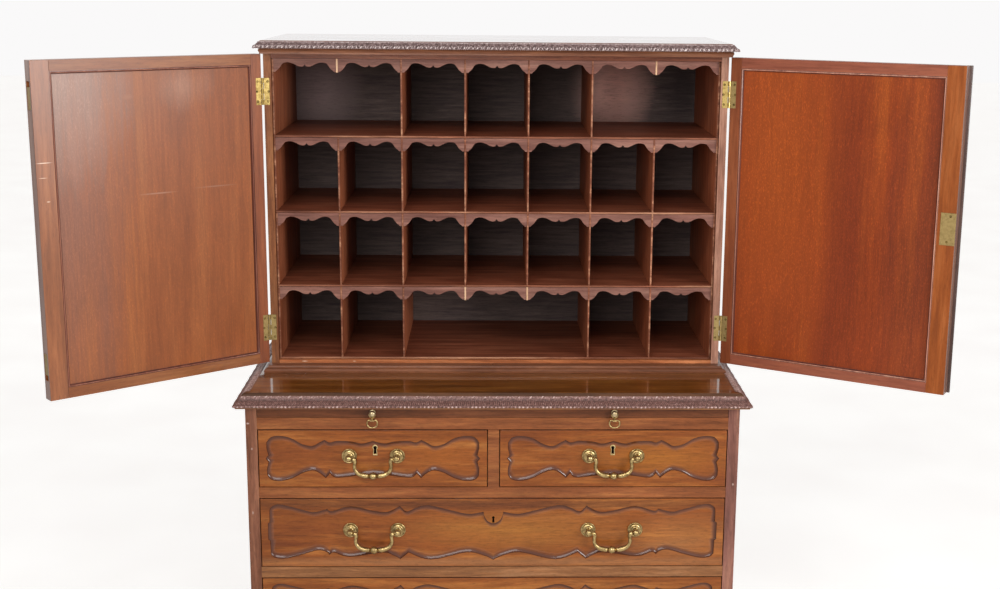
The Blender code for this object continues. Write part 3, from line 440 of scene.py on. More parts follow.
def mottled(name, scale, dark, light):
    # a dull surface in soft clouds of two close tones
    material, tree, shader = newMaterial(name, {"Roughness": 0.9, "Specular IOR Level": 0.1})
    clouds = addNode(tree, "TexNoise", {"Vector": addNode(tree, "TexCoord", out="Object"), "Scale": scale})
    ground = addNode(tree, "ValToRGB", (clouds,), stops=((0.3, dark), (0.7, light)))
    plug(shader, {"Base Color": ground})
    return material, tree, shader, ground


# base looks, each with its tones (dark, mid, light) where a finish doesn't bring its own
drawerLook = {"tones": "#6a3516 #7e441a #9a5f2c", "grain": "x", "ribbon": 0.022, "wave": 0.03,
              "waveScale": 2.6, "fibre": 0.30, "pore": 0.30}
railLook = {**drawerLook, "tones": "#66371b #7b4524 #90582f", "ribbon": 0.014, "seed": 3.0}
postLook = {**drawerLook, "tones": "#5e3724 #784b37 #8e5f46", "grain": "z", "ribbon": 0.012, "seed": 5.0}
panelLook = {"grain": "z", "wave": 0.015, "stretch": 0.06, "fleck": 0.3}
stileLook = {"tones": "#6d3519 #7e4121 #90502d", "grain": "z", "ribbon": 0.012, "seed": 16.0, "wave": 0.01,
             "pore": 0.2, "patch": 0.08, "coat": 0.5, "coatRough": 0.3}
nestLook = {"grain": "x", "ribbon": 0.012, "wave": 0.008, "fibre": 0.22, "pore": 0.25, "coat": 0.05,
            "rough": 0.5, "patch": 0.15}
boardLook = {"tones": "#8a6844 #a07c54 #b39067", "grain": "y", "coat": 0.0, "rough": 0.65}
mirrorPolish = {"rough": 0.3, "coat": 1.0, "coatRough": 0.03, "bump": 0.02}
thickPolish = {"rough": 0.35, "coatRough": 0.07, "bump": 0.05}

# drawer fronts: golden, figured wood, with painted shade in the coves round the sunk fields
drawerFigure = {                                       # seed, and marks: paler figure; on long_drawer_1 also painted shade and painted light bands
    "short_drawer_left": (1.0, (((-0.12, -0.18, 0.762), (0.07, 0.1, 0.035), "#8f4f1c", 3.0),)),
    "short_drawer_right": (2.3, (((0.27, -0.20, 0.762), (0.12, 0.1, 0.03), "#965a20", 3.0),)),
    "long_drawer_1": (4.1, (((0.03, -0.20, 0.618), (0.18, 0.1, 0.036), "#986028", 3.0),
                            ((0.33, -0.20, 0.60), (0.10, 0.1, 0.04), "#925e33", 3.0),
                            # painted shade along the top border and painted light along the bottom border
                            ((-0.10, -0.18, 0.671), (0.9, 0.1, 0.014), "#5c3118", 0.5),
                            ((-0.02, -0.18, 0.556), (0.9, 0.1, 0.012), "#8d5c38", 0.5))),
    "long_drawer_2": (6.2, (((-0.10, -0.20, 0.45), (0.20, 0.1, 0.05), "#945c28", 3.0),)),
    "long_drawer_3": (7.7, ()),
}
goldenMahogany, coveShade = {}, {}
for name, (seed, marks) in drawerFigure.items():
    goldenMahogany[name] = mahogany("golden_mahogany_" + name, drawerLook, seed=seed, marks=marks)
    coveShade[name] = mahogany("cove_shade_" + name, drawerLook, seed=seed, marks=marks, cove="#4a2413",
                               coat=0.5, **thickPolish)
# the side edges of each front are painted dark: painted shade in the gaps round the drawer
gapShadeMahogany = mahogany("cove_mahogany", drawerLook, "#4b2413 #5a2f1b #6c3d26", coat=0.6, **thickPolish)

# rails, posts and boards of the chest and the case: straight grain, knocks on the arrises show as pale dots
railMahogany = mahogany("rail_mahogany", railLook)
lowerRails = mahogany("lower_rail_mahogany", railLook, "#69432a #7f5230 #946744", seed=39.0)
sideMahogany = mahogany("side_board_mahogany", drawerLook, "#5c3018 #743f20 #8a5230", grain="z", ribbon=0.04,
                        seed=40.0)
slideMahogany = mahogany("slide_mahogany", railLook, "#4d2914 #5e331b #6f4126", seed=9.0)
postMahogany = mahogany("post_mahogany", postLook, marks=(
    ((-0.474, -0.19, 0.829), (0.0035, 0.02, 0.0022), "#b39a90", 0),
    ((-0.468, -0.19, 0.78), (0.002, 0.02, 0.003), "#a58b80", 0),
    ((-0.470, -0.19, 0.655), (0.0018, 0.02, 0.004), "#a58b80", 0)))
rightPostMahogany = mahogany("right_post_mahogany", postLook, "#5e3a30 #784e43 #8e6250", marks=(
    ((0.428, -0.19, 0.71), (0.002, 0.02, 0.003), "#a58b80", 0),))
casePost = mahogany("case_post_mahogany", postLook, "#5f341d #7a4a2c #905f3a", seed=12.0)
rightCasePost = mahogany("right_case_post_mahogany", postLook, "#784f3e #986e5b #b0866e", seed=29.0)
frieze = mahogany("frieze_mahogany", railLook, "#562b1b #6d3c28 #825139", seed=13.0)
floorEdge = mahogany("floor_board_mahogany", railLook, "#824727 #a05e38 #bb794f", seed=35.0, marks=(
    ((-0.388, -0.13, 0.9045), (0.0075, 0.2, 0.0022), "#e0bfa4", 0),
    ((-0.292, -0.13, 0.9045), (0.004, 0.2, 0.002), "#d3ad90", 0)))
darkMoulding = mahogany("dark_moulding_mahogany", railLook, "#55321f #6a3f29 #7f5137", seed=27.0, coat=0.25)

# chest top and cornice: tops burnished until they mirror the room, and the dark nosing under the carving
topMahogany = mahogany("table_mahogany", drawerLook, "#57300f #744218 #8e5a26", seed=11.0, **mirrorPolish)
corniceTop = mahogany("cornice_top_mahogany", drawerLook, "#55332a #724738 #8c6050", seed=41.0,
                      **mirrorPolish)
tableNosing = mahogany("table_nosing_mahogany", drawerLook, "#362010 #492b16 #5b381f", seed=37.0, rough=0.35,
                       coat=0.4, coatRough=0.08, bump=0.04)
corniceCarving = carvedMahogany("cornice_carving", "#33201b #715b59 #a4908d #dccfcb")
edgeCarving = carvedMahogany("table_edge_carving", "#33201b #5a3a33 #86645c #bda49d")

# door panels: flat-sawn, so the ribbons run wide; the left one is scratched and has a painted sheen over its
# upper part
leftPanel = mahogany("left_panel_mahogany", panelLook, "#763c18 #83451d #905126", door=-1, seed=14.0,
                     ribbon=0.032, fibre=0.20, pore=-0.34, fleckScale=620.0, patch=0.10, coat=0.45,
                     coatRough=0.30, marks=(
                         # the first two marks paint a sheen over the upper part, greyest at the top
                         ((0.39, -0.005, 1.25), (0.13, 0.05, 0.50), "#80523f", 1.0),
                         ((0.40, -0.005, 1.47), (0.15, 0.05, 0.20), "#957668", 1.0),
                         ((0.160, -0.005, 1.44), (0.050, 0.05, 0.035), "#92624a", 2.5),
                         ((0.215, -0.005, 1.251), (0.042, 0.01, 0.0020), "#96674f", 0),
                         ((0.100, -0.005, 1.2545), (0.050, 0.01, 0.0018), "#8c5c44", 0),
                         ((0.265, -0.005, 1.425), (0.012, 0.01, 0.006), "#8f5a3e", 0)))
rightPanel = mahogany("right_panel_mahogany", panelLook, "#68260b #7a310c #8c4012", door=1, seed=15.0,
                      ribbon=0.045, fibre=0.18, pore=-0.65, fleckScale=640.0, patch=0.07, coat=0.15,
                      coatRough=0.2, marks=(
                          ((-0.10, -0.005, 1.32), (0.12, 0.05, 0.40), "#8e4012", 1.6),
                          ((-0.25, -0.005, 1.15), (0.050, 0.05, 0.40), "#68270b", 1.6),
                          ((-0.37, -0.005, 1.10), (0.07, 0.05, 0.5), "#642a12", 1.6)))

# door frames: quarter-sawn and close in grain, each member from its own board
leftStile = mahogany("left_stile_mahogany", stileLook, door=-1)
leftRail = mahogany("left_rail_mahogany", stileLook, "#6f3a1b #804823 #905930", door=-1, grain="x", seed=17.0)
rightStile = mahogany("right_stile_mahogany", stileLook, "#662f15 #783d20 #8b4e2d", door=1, seed=18.0,
                      coat=0.15)
rightRail = mahogany("right_rail_mahogany", stileLook, "#703a28 #864a36 #905238", door=1, grain="x",
                     seed=19.0, coat=0.15)
leftMeeting = mahogany("left_meeting_stile_mahogany", stileLook, "#74401f #864c27 #985c34", door=-1,
                       seed=30.0, coat=0.8,
                       marks=(((0.422, -0.0007, 1.3205), (0.016, 0.01, 0.0010), "#e8cfb8", 0),
                              ((0.425, -0.0007, 1.295), (0.009, 0.01, 0.0008), "#d8b79c", 0),
                              ((0.418, -0.0007, 1.254), (0.004, 0.01, 0.0015), "#c9a88f", 0)))
rightMeeting = mahogany("right_meeting_stile_mahogany", stileLook, "#713818 #85451d #97552a", door=1,
                        seed=31.0, coat=0.03, specular=0.12)
lipMahogany = mahogany("closing_lip_mahogany", stileLook, "#1c1311 #2a1c18 #3a2823", door=1, seed=32.0,
                       coat=0.2)
lipInside = mahogany("closing_lip_inside_mahogany", stileLook, "#3a2a25 #4b3832 #5c463f", door=1, seed=38.0,
                     coat=0.8, coatRough=0.15)
# edges of the meeting stiles: the greyer tones paint part of the grazing sheen, on top of the coat's own
# reflection
edgeLook = {**stileLook, "tones": "#5d3c30 #704c3e #82604f", "coat": 1.0, "coatRough": 0.15}
leftEdge = mahogany("left_edge_mahogany", edgeLook, door=-1)
rightEdge = mahogany("right_edge_mahogany", edgeLook, door=1)
beadLook = {**stileLook, "tones": "#40190f #542619 #683627", "coat": 0.7, "coatRough": 0.12}
leftBead = mahogany("left_bead_mahogany", beadLook, door=-1)
rightBead = mahogany("right_bead_mahogany", beadLook, door=1)
# the pale tones of the bead crests are a painted highlight
beadCrestHighlight = mahogany("bead_crest_painted_highlight", beadLook, "#8a5746 #ab7763 #c9987f", door=1, seed=33.0)
leftBeadCrestHighlight = mahogany("left_bead_crest_painted_highlight", beadLook, "#6f4030 #875341 #a06b55", door=-1, seed=34.0)

# pigeonholes: thin boards, waxed only, paler where hands have rubbed them
nestUpright = mahogany("nest_upright_mahogany", nestLook, "#7c432a #975538 #ac6848", grain="z", seed=20.0)
nestShelf = mahogany("nest_shelf_mahogany", nestLook, "#60301f #78412c #8d533b", seed=21.0)
nestValance = mahogany("nest_valance_mahogany", nestLook, "#5f3a31 #775045 #8e6658", seed=22.0, ribbon=0.016,
                       fibre=0.3)
nestArris = mahogany("nest_arris_mahogany", nestLook, "#603526 #7b4b36 #aa7b5f", seed=23.0, ribbon=0.016,
                     patch=0.3, fibre=0.4)
nestStub = mahogany("nest_stub_mahogany", nestLook, "#a67a5c #c39a78 #dcb896", grain="z", seed=28.0)
backBoards = mahogany("back_board_mahogany", nestLook, "#4b3e3f #5b4e4a #6a5b55", seed=24.0, coat=0.0,
                      rough=0.7, ribbon=0.006,
                      # marks: painted light falling into the top row of holes, brightest at the left of the
                      # right-hand hole and fainter in the left-hand hole, painted shade at the far right, and one
                      # patch that keeps the board's own tone
                      marks=(((0.225, 0.29, 1.41), (0.09, 0.2, 0.105), "#f0bcae", 0.3),
                             ((0.085, 0.29, 1.41), (0.10, 0.2, 0.12), "#5b4e4a", 0.3),
                             ((-0.395, 0.29, 1.41), (0.10, 0.2, 0.105), "#917c7a", 0.3),
                             ((0.375, 0.29, 1.41), (0.06, 0.2, 0.105), "#3a3130", 0.3)))

# unpolished boards that only show with the drawers out or from behind: dry and pale
linings = mahogany("lining_board", boardLook, grain="x", seed=25.0, fibre=0.2, pore=0.15)
liningSides = mahogany("lining_side_board", boardLook, seed=26.0)
outerBoards = mahogany("outer_back_boards", boardLook, "#6b5038 #816346 #957758", grain="z", seed=36.0,
                       rough=0.75, fibre=0.3, pore=0.3)

# cast and drawn brass, from bright on the handles to brown in the screw slots
handleBrass = brass("antique_handle_brass", "#b29a68", "#745c36", 0.26)
knobBrass = brass("pull_knob_brass", "#c2b08c", "#8a7654", 0.3)
paleBrass = brass("pale_keyhole_brass", "#c9b685", "#a08a58", 0.35)
hingeBrass = brass("bright_hinge_brass", "#b0975a", "#8c7440", 0.32)
dullBrass = brass("dull_brass", "#9f8858", "#8c774b", 0.42)
screwBrass = brass("screw_brass", "#6f592c", "#30260f", 0.40)
# keyholes are painted near black: painted shade inside the cut
keyholeShade = mottled("keyhole_painted_shade", 300.0, "#0c0806", "#1a110c")[0]
print("finishes made")


# frame nodes that keep their shape

nodeFinishes = {
    "chest_side_left": postMahogany, "chest_side_right": rightPostMahogany, "case_side_left": casePost,
    "case_side_right": rightCasePost, "slide_rail": railMahogany, "upper_rail": railMahogany,
    "middle_rail": lowerRails, "lower_rail": lowerRails, "chest_back": linings, "case_back": backBoards,
    "case_floor": floorEdge, "case_top": frieze, "chest_top": topMahogany, "brushing_slide": slideMahogany,
    "left_door_panel": leftPanel, "right_door_panel": rightPanel, "door_lock": dullBrass,
    "flush_bolt_top": dullBrass, "flush_bolt_bottom": dullBrass, "cornice": darkMoulding,
    "waist_moulding": darkMoulding, "chest_base": darkMoulding,
}
brightLeaves = ("left_door_upper_hinge_case_leaf", "left_door_upper_hinge_door_leaf",
                "right_door_upper_hinge_case_leaf")
for node in nodes:
    if node.startswith("foot_"):
        nodeFinishes[node] = darkMoulding
    if node.endswith("_box"):
        nodeFinishes[node] = liningSides
    if node.endswith("_leaf"):
        nodeFinishes[node] = hingeBrass if node in brightLeaves else dullBrass
for node, material in nodeFinishes.items():
    nodes[node].data.materials.clear()
    finish(nodes[node], material)
for node in ("case_back", "chest_back"):
    nodes[node].data.materials.append(outerBoards)
    pickFaces(nodes[node], lambda face: face.normal.y > 0.9)
for node in ("case_side_left", "case_side_right", "chest_side_left", "chest_side_right"):
    nodes[node].data.materials.append(sideMahogany)
    pickFaces(nodes[node], lambda face: abs(face.normal.x) > 0.9)


# drawer fronts with sunk serpentine fields

drawers = {
    # outline, and keyhole: right of and above the middle, radius, height
    "short_drawer_left": {"kind": "short", "key": (0.0035, 0.0155, 0.0030, 0.0145)},
    "short_drawer_right": {"kind": "short", "key": (-0.001, 0.0155, 0.0030, 0.0145)},
    "long_drawer_1": {"kind": "long", "key": (0.0, 0.0262, 0.0026, 0.0125)},
    "long_drawer_2": {"kind": "long", "key": (0.0, 0.0387, 0.0026, 0.0125)},
    "long_drawer_3": {"kind": "long", "key": (0.0, 0.0527, 0.0026, 0.0125)},
}
keyhole = {"deep": 0.009, "ahead": 0.004, "flare": 0.85}


def smoothRun(points):
    # points along a Catmull-Rom curve, without the last one
    ends = [points[0]] + list(points) + [points[-1]]
    run = []
    for i in range(1, len(ends) - 2):
        a, b, c, d = (Vector(p) for p in ends[i - 1:i + 3])
        for step in range(field["steps"]):
            t = step / field["steps"]
            run.append((2 * b + (c - a) * t + (2 * a - 5 * b + 4 * c - d) * t ** 2
                        + (3 * b - a - 3 * c + d) * t ** 3) / 2)
    return run


def fieldOutline(half, low, high, kind):
    # clockwise from the middle of the top, then mirrored
    border, tongue = field["border"], field["tongue"]
    right = []
    if kind == "long":                                 # a round tongue hangs from the middle
        for i in range(field["tongueSteps"]):
            angle = math.radians(90 - i * 90 / (field["tongueSteps"] - 1))
            right.append((half * field["tongueHalf"] * math.cos(angle),
                          high - (border + (tongue - border) * math.sin(angle))))
    for run in field[kind + "Top"]:
        right += [(half * x, high - border * z) for x, z in smoothRun(run)]
    x, z = field[kind + "Top"][-1][-1]
    right.append((half * x, high - border * z))
    right += [(half * x, high - (high - low) * z) for x, z in field[kind + "Side"]]
    for run in field[kind + "Bottom"]:
        right += [(half * x, low + border * z) for x, z in smoothRun(run)]
    x, z = field[kind + "Bottom"][-1][-1]
    right.append((half * x, low + border * z))
    return right + [(-x, z) for x, z in reversed(right) if x > 0.00001]


def keyholeCutter(name, x, y, z, radius, high, deep):
    # round head over a flared slot
    outline = [(radius * math.sin(math.radians(a)), radius * math.cos(math.radians(a)))
               for a in range(-140, 141, 20)]
    outline += [(way * radius * keyhole["flare"], radius - high) for way in (1, -1)]
    cutter = flatFace(name, [(x + across, y - keyhole["ahead"], z + up + high / 2 - radius)
                             for across, up in outline])
    drawOut(cutter, [((0, deep + keyhole["ahead"], 0), None)])
    return cutter


def fieldCutter(name, outline, half, low, high):
    # the outline pushed into the wood and drawn in towards the middle along a hollow moulding
    levels = [(-field["above"], 0.0)]
    for i in range(field["coveSteps"] + 1):
        t = quarter * i / field["coveSteps"]
        levels.append((field["depth"] * math.sin(t), field["slope"] * (1 - math.cos(t))))
    cutter = flatFace(name, [(x, levels[0][0], z) for x, z in outline])
    drawOut(cutter, [((0, further - depth, 0), None) for (depth, _), (further, _) in zip(levels, levels[1:])])
    coreX, coreLow, coreHigh = half - field["border"], low + field["border"] * 2, high - field["border"] * 2
    for vertex in cutter.data.vertices:
        inset = min(levels, key=lambda level: abs(level[0] - vertex.co.y))[1]
        core = Vector((max(-coreX, min(coreX, vertex.co.x)), 0, max(coreLow, min(coreHigh, vertex.co.z))))
        inward = core - Vector((vertex.co.x, 0, vertex.co.z))
        vertex.co += inward.normalized() * inset
    pickFaces(cutter, lambda face: len(face.vertices) <= 8)          # the ground is the one big face
    return cutter


for name, facts in drawers.items():
    low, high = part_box(name + "_front")
    centre, mid = (low.x + high.x) / 2, (low.z + high.z) / 2
    halfWide, halfHigh = (high.x - low.x) / 2, (high.z - low.z) / 2
    facts["centre"], facts["mid"] = centre, mid
    gap = field["gap"]
    front = block(name + "_carved_front", (low.x + gap, high.x - gap), (frontY, frontY + field["thick"]),
                  (low.z + gap, high.z - gap), field["arris"])
    finish(front, goldenMahogany[name], coveShade[name], keyholeShade, gapShadeMahogany)
    pickFaces(front, lambda face: abs(face.normal.y) < 0.5, 3)       # edges painted dark as shade in the gaps round the drawer
    half = halfWide - field["side"]
    outline = fieldOutline(half, -halfHigh, halfHigh, facts["kind"])
    cutter = fieldCutter(name + "_field", outline, half, -halfHigh, halfHigh)
    cutter.data.transform(Matrix.Translation((centre, frontY, mid)))
    finish(cutter, goldenMahogany[name], coveShade[name])
    cutWith(front, cutter, material_mode="TRANSFER")
    aside, lift, radius, keyHigh = facts["key"]
    floorY = frontY + (field["depth"] if facts["kind"] == "short" else 0)
    hole = keyholeCutter(name + "_key", centre + aside, floorY, mid + lift, radius, keyHigh, keyhole["deep"])
    finish(hole, keyholeShade)
    cutWith(front, hole, material_mode="TRANSFER")
    planed(front, 21)
    fitTo(front, name, "figured_mahogany", name + "_front")
print("drawer fronts carved")


# swan-neck handles

handle = {
    "span": 0.0889,
    # turned rose: rim, groove, ring and dome, (radius, height above the field) in mm
    "rose": mm(
        (13.8, -0.4), (14.2, 0.8), (14, 2), (13.2, 2.7), (12.2, 2.7), (11.4, 2.1), (10.6, 1.7), (9.6, 1.9),
        (8.8, 2.6), (7.8, 3), (6.8, 2.9), (5.8, 3), (5, 3.6), (4.1, 4.4), (3.7, 5.4), (3.6, 10), (4.2, 10.8),
        (3.8, 11.8), (4.6, 13), (5.7, 15), (6, 17.2), (5.6, 19.2), (4.4, 21), (2.6, 22.1), (0.6, 22.5)),
    # half of the bail from its eye to the middle: (x, z, radius) in mm
    "bail": mm(
        (-40.5, 0, 1.6), (-38.6, 0, 2), (-36.6, -0.6, 4.2), (-34.3, -2.2, 4.6), (-33, -5.6, 3.8),
        (-33.4, -10.2, 3.3), (-33.8, -15, 3.3), (-33, -20, 3.4), (-30.6, -24.8, 3.7), (-26.4, -28.8, 4.1),
        (-20.8, -31.4, 4.7), (-14.5, -32.8, 4.9), (-9.8, -33.4, 4.4), (-8.2, -33.6, 3), (-7.2, -33.6, 4.4),
        (-6.3, -33.6, 3.2), (-5.2, -33.6, 5), (-2.6, -33.6, 6.6), (0, -33.6, 7)),
}
bailModel = wire("bail_model", [(x, 0, z, radius) for x, z, radius in mirrored(handle["bail"])])
roseModel = turned("rose_model", handle["rose"], 40)
roseModel.data.transform(Matrix.Rotation(quarter, 4, "X"))
for name in drawers:
    roses = []
    for body in sorted(body for body in frame["bodies"] if body.startswith(name + "_bail")):
        x, y, z = joints[body + "_swing"]["pos_m"]
        for side in (-1, 1):
            move = Matrix.Translation((x + side * handle["span"] / 2, frontY + field["depth"], z))
            roses.append(copyTo(roseModel, "rose", move))
        bail = copyTo(bailModel, body + "_swan_neck", Matrix.Translation((x, y, z)))
        finish(bail, handleBrass)
        fitTo(bail, body, "lacquered_brass", body)
    roses = joined(name + "_roses", roses)
    finish(roses, handleBrass)
    fitTo(roses, name, "lacquered_brass")
discard(bailModel, roseModel)
print("handles hung")


# keyhole edges of the short drawers

escutcheon = {"radius": 0.0050, "high": 0.0205, "deep": 0.0010, "inner": 0.0032, "innerHigh": 0.0155,
              "innerDeep": 0.006, "proud": 0.0009, "sunk": 0.0006, "arris": 0.0003}
for name in ("short_drawer_left", "short_drawer_right"):
    facts = drawers[name]
    floorY = frontY + field["depth"]
    x, z = facts["centre"] + facts["key"][0], facts["mid"] + facts["key"][1]
    plate = keyholeCutter(name + "_escutcheon", x, floorY, z, escutcheon["radius"], escutcheon["high"],
                          escutcheon["deep"])
    for vertex in plate.data.vertices:
        vertex.co.y = floorY + (-escutcheon["proud"] if vertex.co.y < floorY else escutcheon["sunk"])
    cutWith(plate, keyholeCutter(name + "_eye", x, floorY, z, escutcheon["inner"], escutcheon["innerHigh"],
                                 escutcheon["innerDeep"]))
    addModifier(plate, "BEVEL", width=escutcheon["arris"], segments=2, limit_method="ANGLE")
    finish(plate, paleBrass)
    smooth(plate)
    fitTo(plate, name, "lacquered_brass")
print("escutcheons set")


# brushing slide knobs and ring pulls

pull = {
    "stirrupWire": 0.0011, "bowWire": 0.0014,
    "knob": mm(
        (5.8, -0.6), (6.1, 0.8), (5.6, 1.8), (4, 2.2), (3.4, 4.4), (4.2, 5.6), (5.6, 7.2), (6.1, 9.4),
        (5.8, 11.6), (4.6, 13.4), (2.6, 14.4), (0.6, 14.7)),
    # half of each wire: (across, up) in mm
    "stirrup": mm((-5.6, 0), (-5.7, -2.4), (-4.4, -5), (-2, -6.6), (0, -7)),
    "bow": mm(
        (0, -12.4), (2.2, -13.4), (4, -12.6), (6.4, -11.8), (8.6, -14.2), (9.4, -18.2), (8.3, -22.2),
        (5.2, -25.2), (0, -26.3)),
    "collar": mm(
        (1.2, -12.4), (2.7, -11.4), (3.4, -10.5), (2.7, -9.6), (1.7, -9), (2.6, -8.4), (3.3, -7.5),
        (2.6, -6.6), (1.2, -6)),
}
knobModel = turned("knob_model", pull["knob"], 28)
knobModel.data.transform(Matrix.Rotation(quarter, 4, "X"))
knobs = []
for side in ("left", "right"):
    body = "ring_pull_" + side
    x, y, z = joints[body + "_swing"]["pos_m"]
    knobs.append(copyTo(knobModel, "knob", Matrix.Translation((x, frontY, z))))
    stirrup = wire("stirrup", [(a, 0, b, pull["stirrupWire"]) for a, b in mirrored(pull["stirrup"])], sides=4)
    bow = wire("bow", [(a, 0, b, pull["bowWire"]) for a, b in mirrored(pull["bow"])[:-1]], cyclic=True,
               sides=4)
    ring = joined(body + "_bow", [stirrup, bow, turned("collar", pull["collar"], 24)])
    ring.data.transform(Matrix.Translation((x, y, z)))
    finish(ring, handleBrass)
    fitTo(ring, body, "lacquered_brass", body)
knobs = joined("brushing_slide_knobs", knobs)
finish(knobs, knobBrass)
fitTo(knobs, "brushing_slide", "lacquered_brass")
discard(knobModel)
print("ring pulls hung")


# nest of pigeonholes

nest = {
    "columns": 7, "leaf": 0.0033, "shelf": 0.0035, "deep": 0.0250, "thick": 0.0040, "setBack": 0.0010,
    "stub": 0.012, "stubBelow": 0.001, "sunk": 0.0002, "round": 0.0008, "perHole": 44, "arris": 0.0003,
    # walls that go down to the shelf, the others are stubs behind the valance
    "full": {1: (0, 2, 3, 4, 5, 7), 2: range(8), 3: range(8), 4: (0, 1, 2, 5, 6, 7)},
    # half of the scalloped edge: share of the hole across, share of the valance down
    "edge": (
        (0, 0.99), (0.052, 0.99), (0.06, 0.9), (0.085, 0.83), (0.112, 0.68), (0.13, 0.56), (0.135, 0.5),
        (0.154, 0.5), (0.158, 0.37), (0.19, 0.31), (0.235, 0.28), (0.28, 0.31), (0.33, 0.4), (0.38, 0.53),
        (0.42, 0.6), (0.455, 0.6), (0.478, 0.57), (0.488, 0.47), (0.5, 0.43)),
}


def edgeDrop(share):
    # how far the valance hangs at this share of the hole
    share = min(share, 1 - share)
    for (x0, d0), (x1, d1) in zip(nest["edge"], nest["edge"][1:]):
        if share <= x1:
            return d0 + (d1 - d0) * ((share - x0) / (x1 - x0))
    return nest["edge"][-1][1]


for number, fullWalls in nest["full"].items():
    name = "pigeonhole_tier_%d" % number
    low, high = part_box(name)
    pitch = (high.x - low.x - nest["leaf"]) / nest["columns"]
    shelfTop = low.z + nest["shelf"]
    shelf = block("shelf", (low.x, high.x), (low.y, high.y), (low.z, shelfTop), nest["round"], 3)
    uprights, stubs = [], []
    for index in range(nest["columns"] + 1):
        x = low.x + nest["leaf"] / 2 + pitch * index
        across = (x - nest["leaf"] / 2, x + nest["leaf"] / 2)
        if index in fullWalls:
            uprights.append(block("upright", across, (low.y, high.y), (shelfTop - nest["sunk"], high.z),
                                  nest["round"], 3))
        else:
            stubs.append(block("stub", across, (low.y, low.y + nest["stub"]),
                               (high.z - nest["deep"] - nest["stubBelow"], high.z), nest["round"], 3))
    for word, boards, materials, replaced in (("_shelf", [shelf], (nestShelf, nestArris), (name,)),
                                              ("_uprights", uprights, (nestUpright, nestArris), ()),
                                              ("_stubs", stubs, (nestStub,), ())):
        if boards:
            boards = joined(name + word, boards)
            finish(boards, *materials)
            if nestArris in materials:                 # the worn front edge
                pickFaces(boards, lambda face: face.center.y < low.y + nest["round"])
            planed(boards)
            fitTo(boards, "carcase", "inside_mahogany", *replaced)
    clearSelection()
    bpy.ops.mesh.primitive_grid_add(x_subdivisions=nest["perHole"] * nest["columns"], y_subdivisions=1,
                                    size=1)
    valance = bpy.context.object
    valance.name = name + "_valance"
    for vertex in valance.data.vertices:
        share = (vertex.co.x + 0.5) * nest["columns"]
        drop = nest["deep"] * edgeDrop(share % 1.0) if vertex.co.y < 0 else 0.0
        vertex.co = (low.x + nest["leaf"] / 2 + share * pitch, low.y + nest["setBack"], high.z - fit - drop)
    drawOut(valance, [((0, nest["thick"], 0), None)])
    addModifier(valance, "BEVEL", width=nest["arris"], segments=1, limit_method="ANGLE",
                angle_limit=math.radians(60))
    smooth(valance, 25)
    finish(valance, nestValance)
    fitTo(valance, "carcase", "inside_mahogany")
print("pigeonholes fitted")


# doors: stiles, rails and bead

door = {
    "thick": 0.022, "gap": 0.00075, "pinOut": 0.0024, "edge": 0.4364, "rail": 0.0240, "hingeStile": 0.0245,
    "meetingStile": 0.0375, "bead": 0.0045, "stileOver": 0.0010, "arris": 0.0006, "railSunk": 0.0001,
    "railArris": 0.0003,
    # bead section from frame to panel: (across, below the face) in mm, and its foot inside and outside
    "section": mm(
        (0, 0), (0.2, 0.9), (0.7, 0.9), (1, 0.2), (1.7, -0.2), (2.5, -0.1), (3.2, 0.6), (3.7, 1.6), (4, 2.6),
        (4.5, 2.9)),
    "insideFoot": 0.0048, "outsideFoot": 0.0098, "beadThick": 0.0008, "crest": 0.0002,
    "hingeLong": 0.050, "hingeInset": 0.069, "hingeReach": 0.0105, "leaf": 0.0014,
    "lip": 0.0050, "lipInside": 0.0070, "lipThick": 0.0042, "lipArris": 0.0012,
    # seats: how far along from the bolt's end, half width, depth; lock plate, lock case
    "boltSeat": (0.0348, 0.0833), "boltHalf": 0.0066, "boltDeep": 0.0110,
    "plateLong": 0.0270, "plateThick": 0.0015, "lockAcross": (0.0228, 0.0042), "lockDeep": 0.0098,
    "lockHalf": 0.0223, "clear": 0.01,
}
frameLow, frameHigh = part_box("left_door_frame")
doorLow, doorHigh = frameLow.z, frameHigh.z
hingeHeights = (doorLow + door["hingeInset"], doorHigh - door["hingeInset"])
inner, outer = -door["gap"], -door["gap"] - door["thick"]

# opening between the stiles and rails, where the bead starts
beadLeft = door["pinOut"] + door["hingeStile"] - door["bead"]
beadRight = door["edge"] - door["meetingStile"] + door["bead"]
beadLow, beadHigh = doorLow + door["rail"] - door["bead"], doorHigh - door["rail"] + door["bead"]


def beadRing(faceY, outward, deep):
    # a plane the size of the opening, stepped inwards ring by ring along the bead section
    clearSelection()
    bpy.ops.mesh.primitive_plane_add(size=1)
    ring = bpy.context.object
    for vertex in ring.data.vertices:
        vertex.co = (beadLeft if vertex.co.x < 0 else beadRight, 0, beadLow if vertex.co.y < 0 else beadHigh)
    ring.data.update()
    facing = 1 if ring.data.polygons[0].normal.y > 0 else -1
    wholeMesh(ring)
    section = [*door["section"], (door["bead"], deep)]
    for (x, y), (nextX, nextY) in zip(section, section[1:]):
        bpy.ops.mesh.inset(thickness=max(nextX - x, 0.00001), depth=-(nextY - y), use_even_offset=True)
    bpy.ops.mesh.delete(type="FACE")
    bpy.ops.object.mode_set(mode="OBJECT")
    if facing != outward:
        ring.data.transform(Matrix.Scale(-1, 4, (0, 1, 0)))
        ring.data.flip_normals()
    ring.data.transform(Matrix.Translation((0, faceY, 0)))
    addModifier(ring, "SOLIDIFY", thickness=door["beadThick"], offset=-1)
    smooth(ring, 30)
    return ring


def hang(piece, side):
    # from the shut door's own frame to where the open door stands
    pin, turn = doorPlace(side)
    if side > 0:
        piece.data.transform(Matrix.Scale(-1, 4, (1, 0, 0)))
        piece.data.flip_normals()
    piece.data.transform(Matrix.Translation(pin) @ Matrix.Rotation(turn, 4, "Z"))


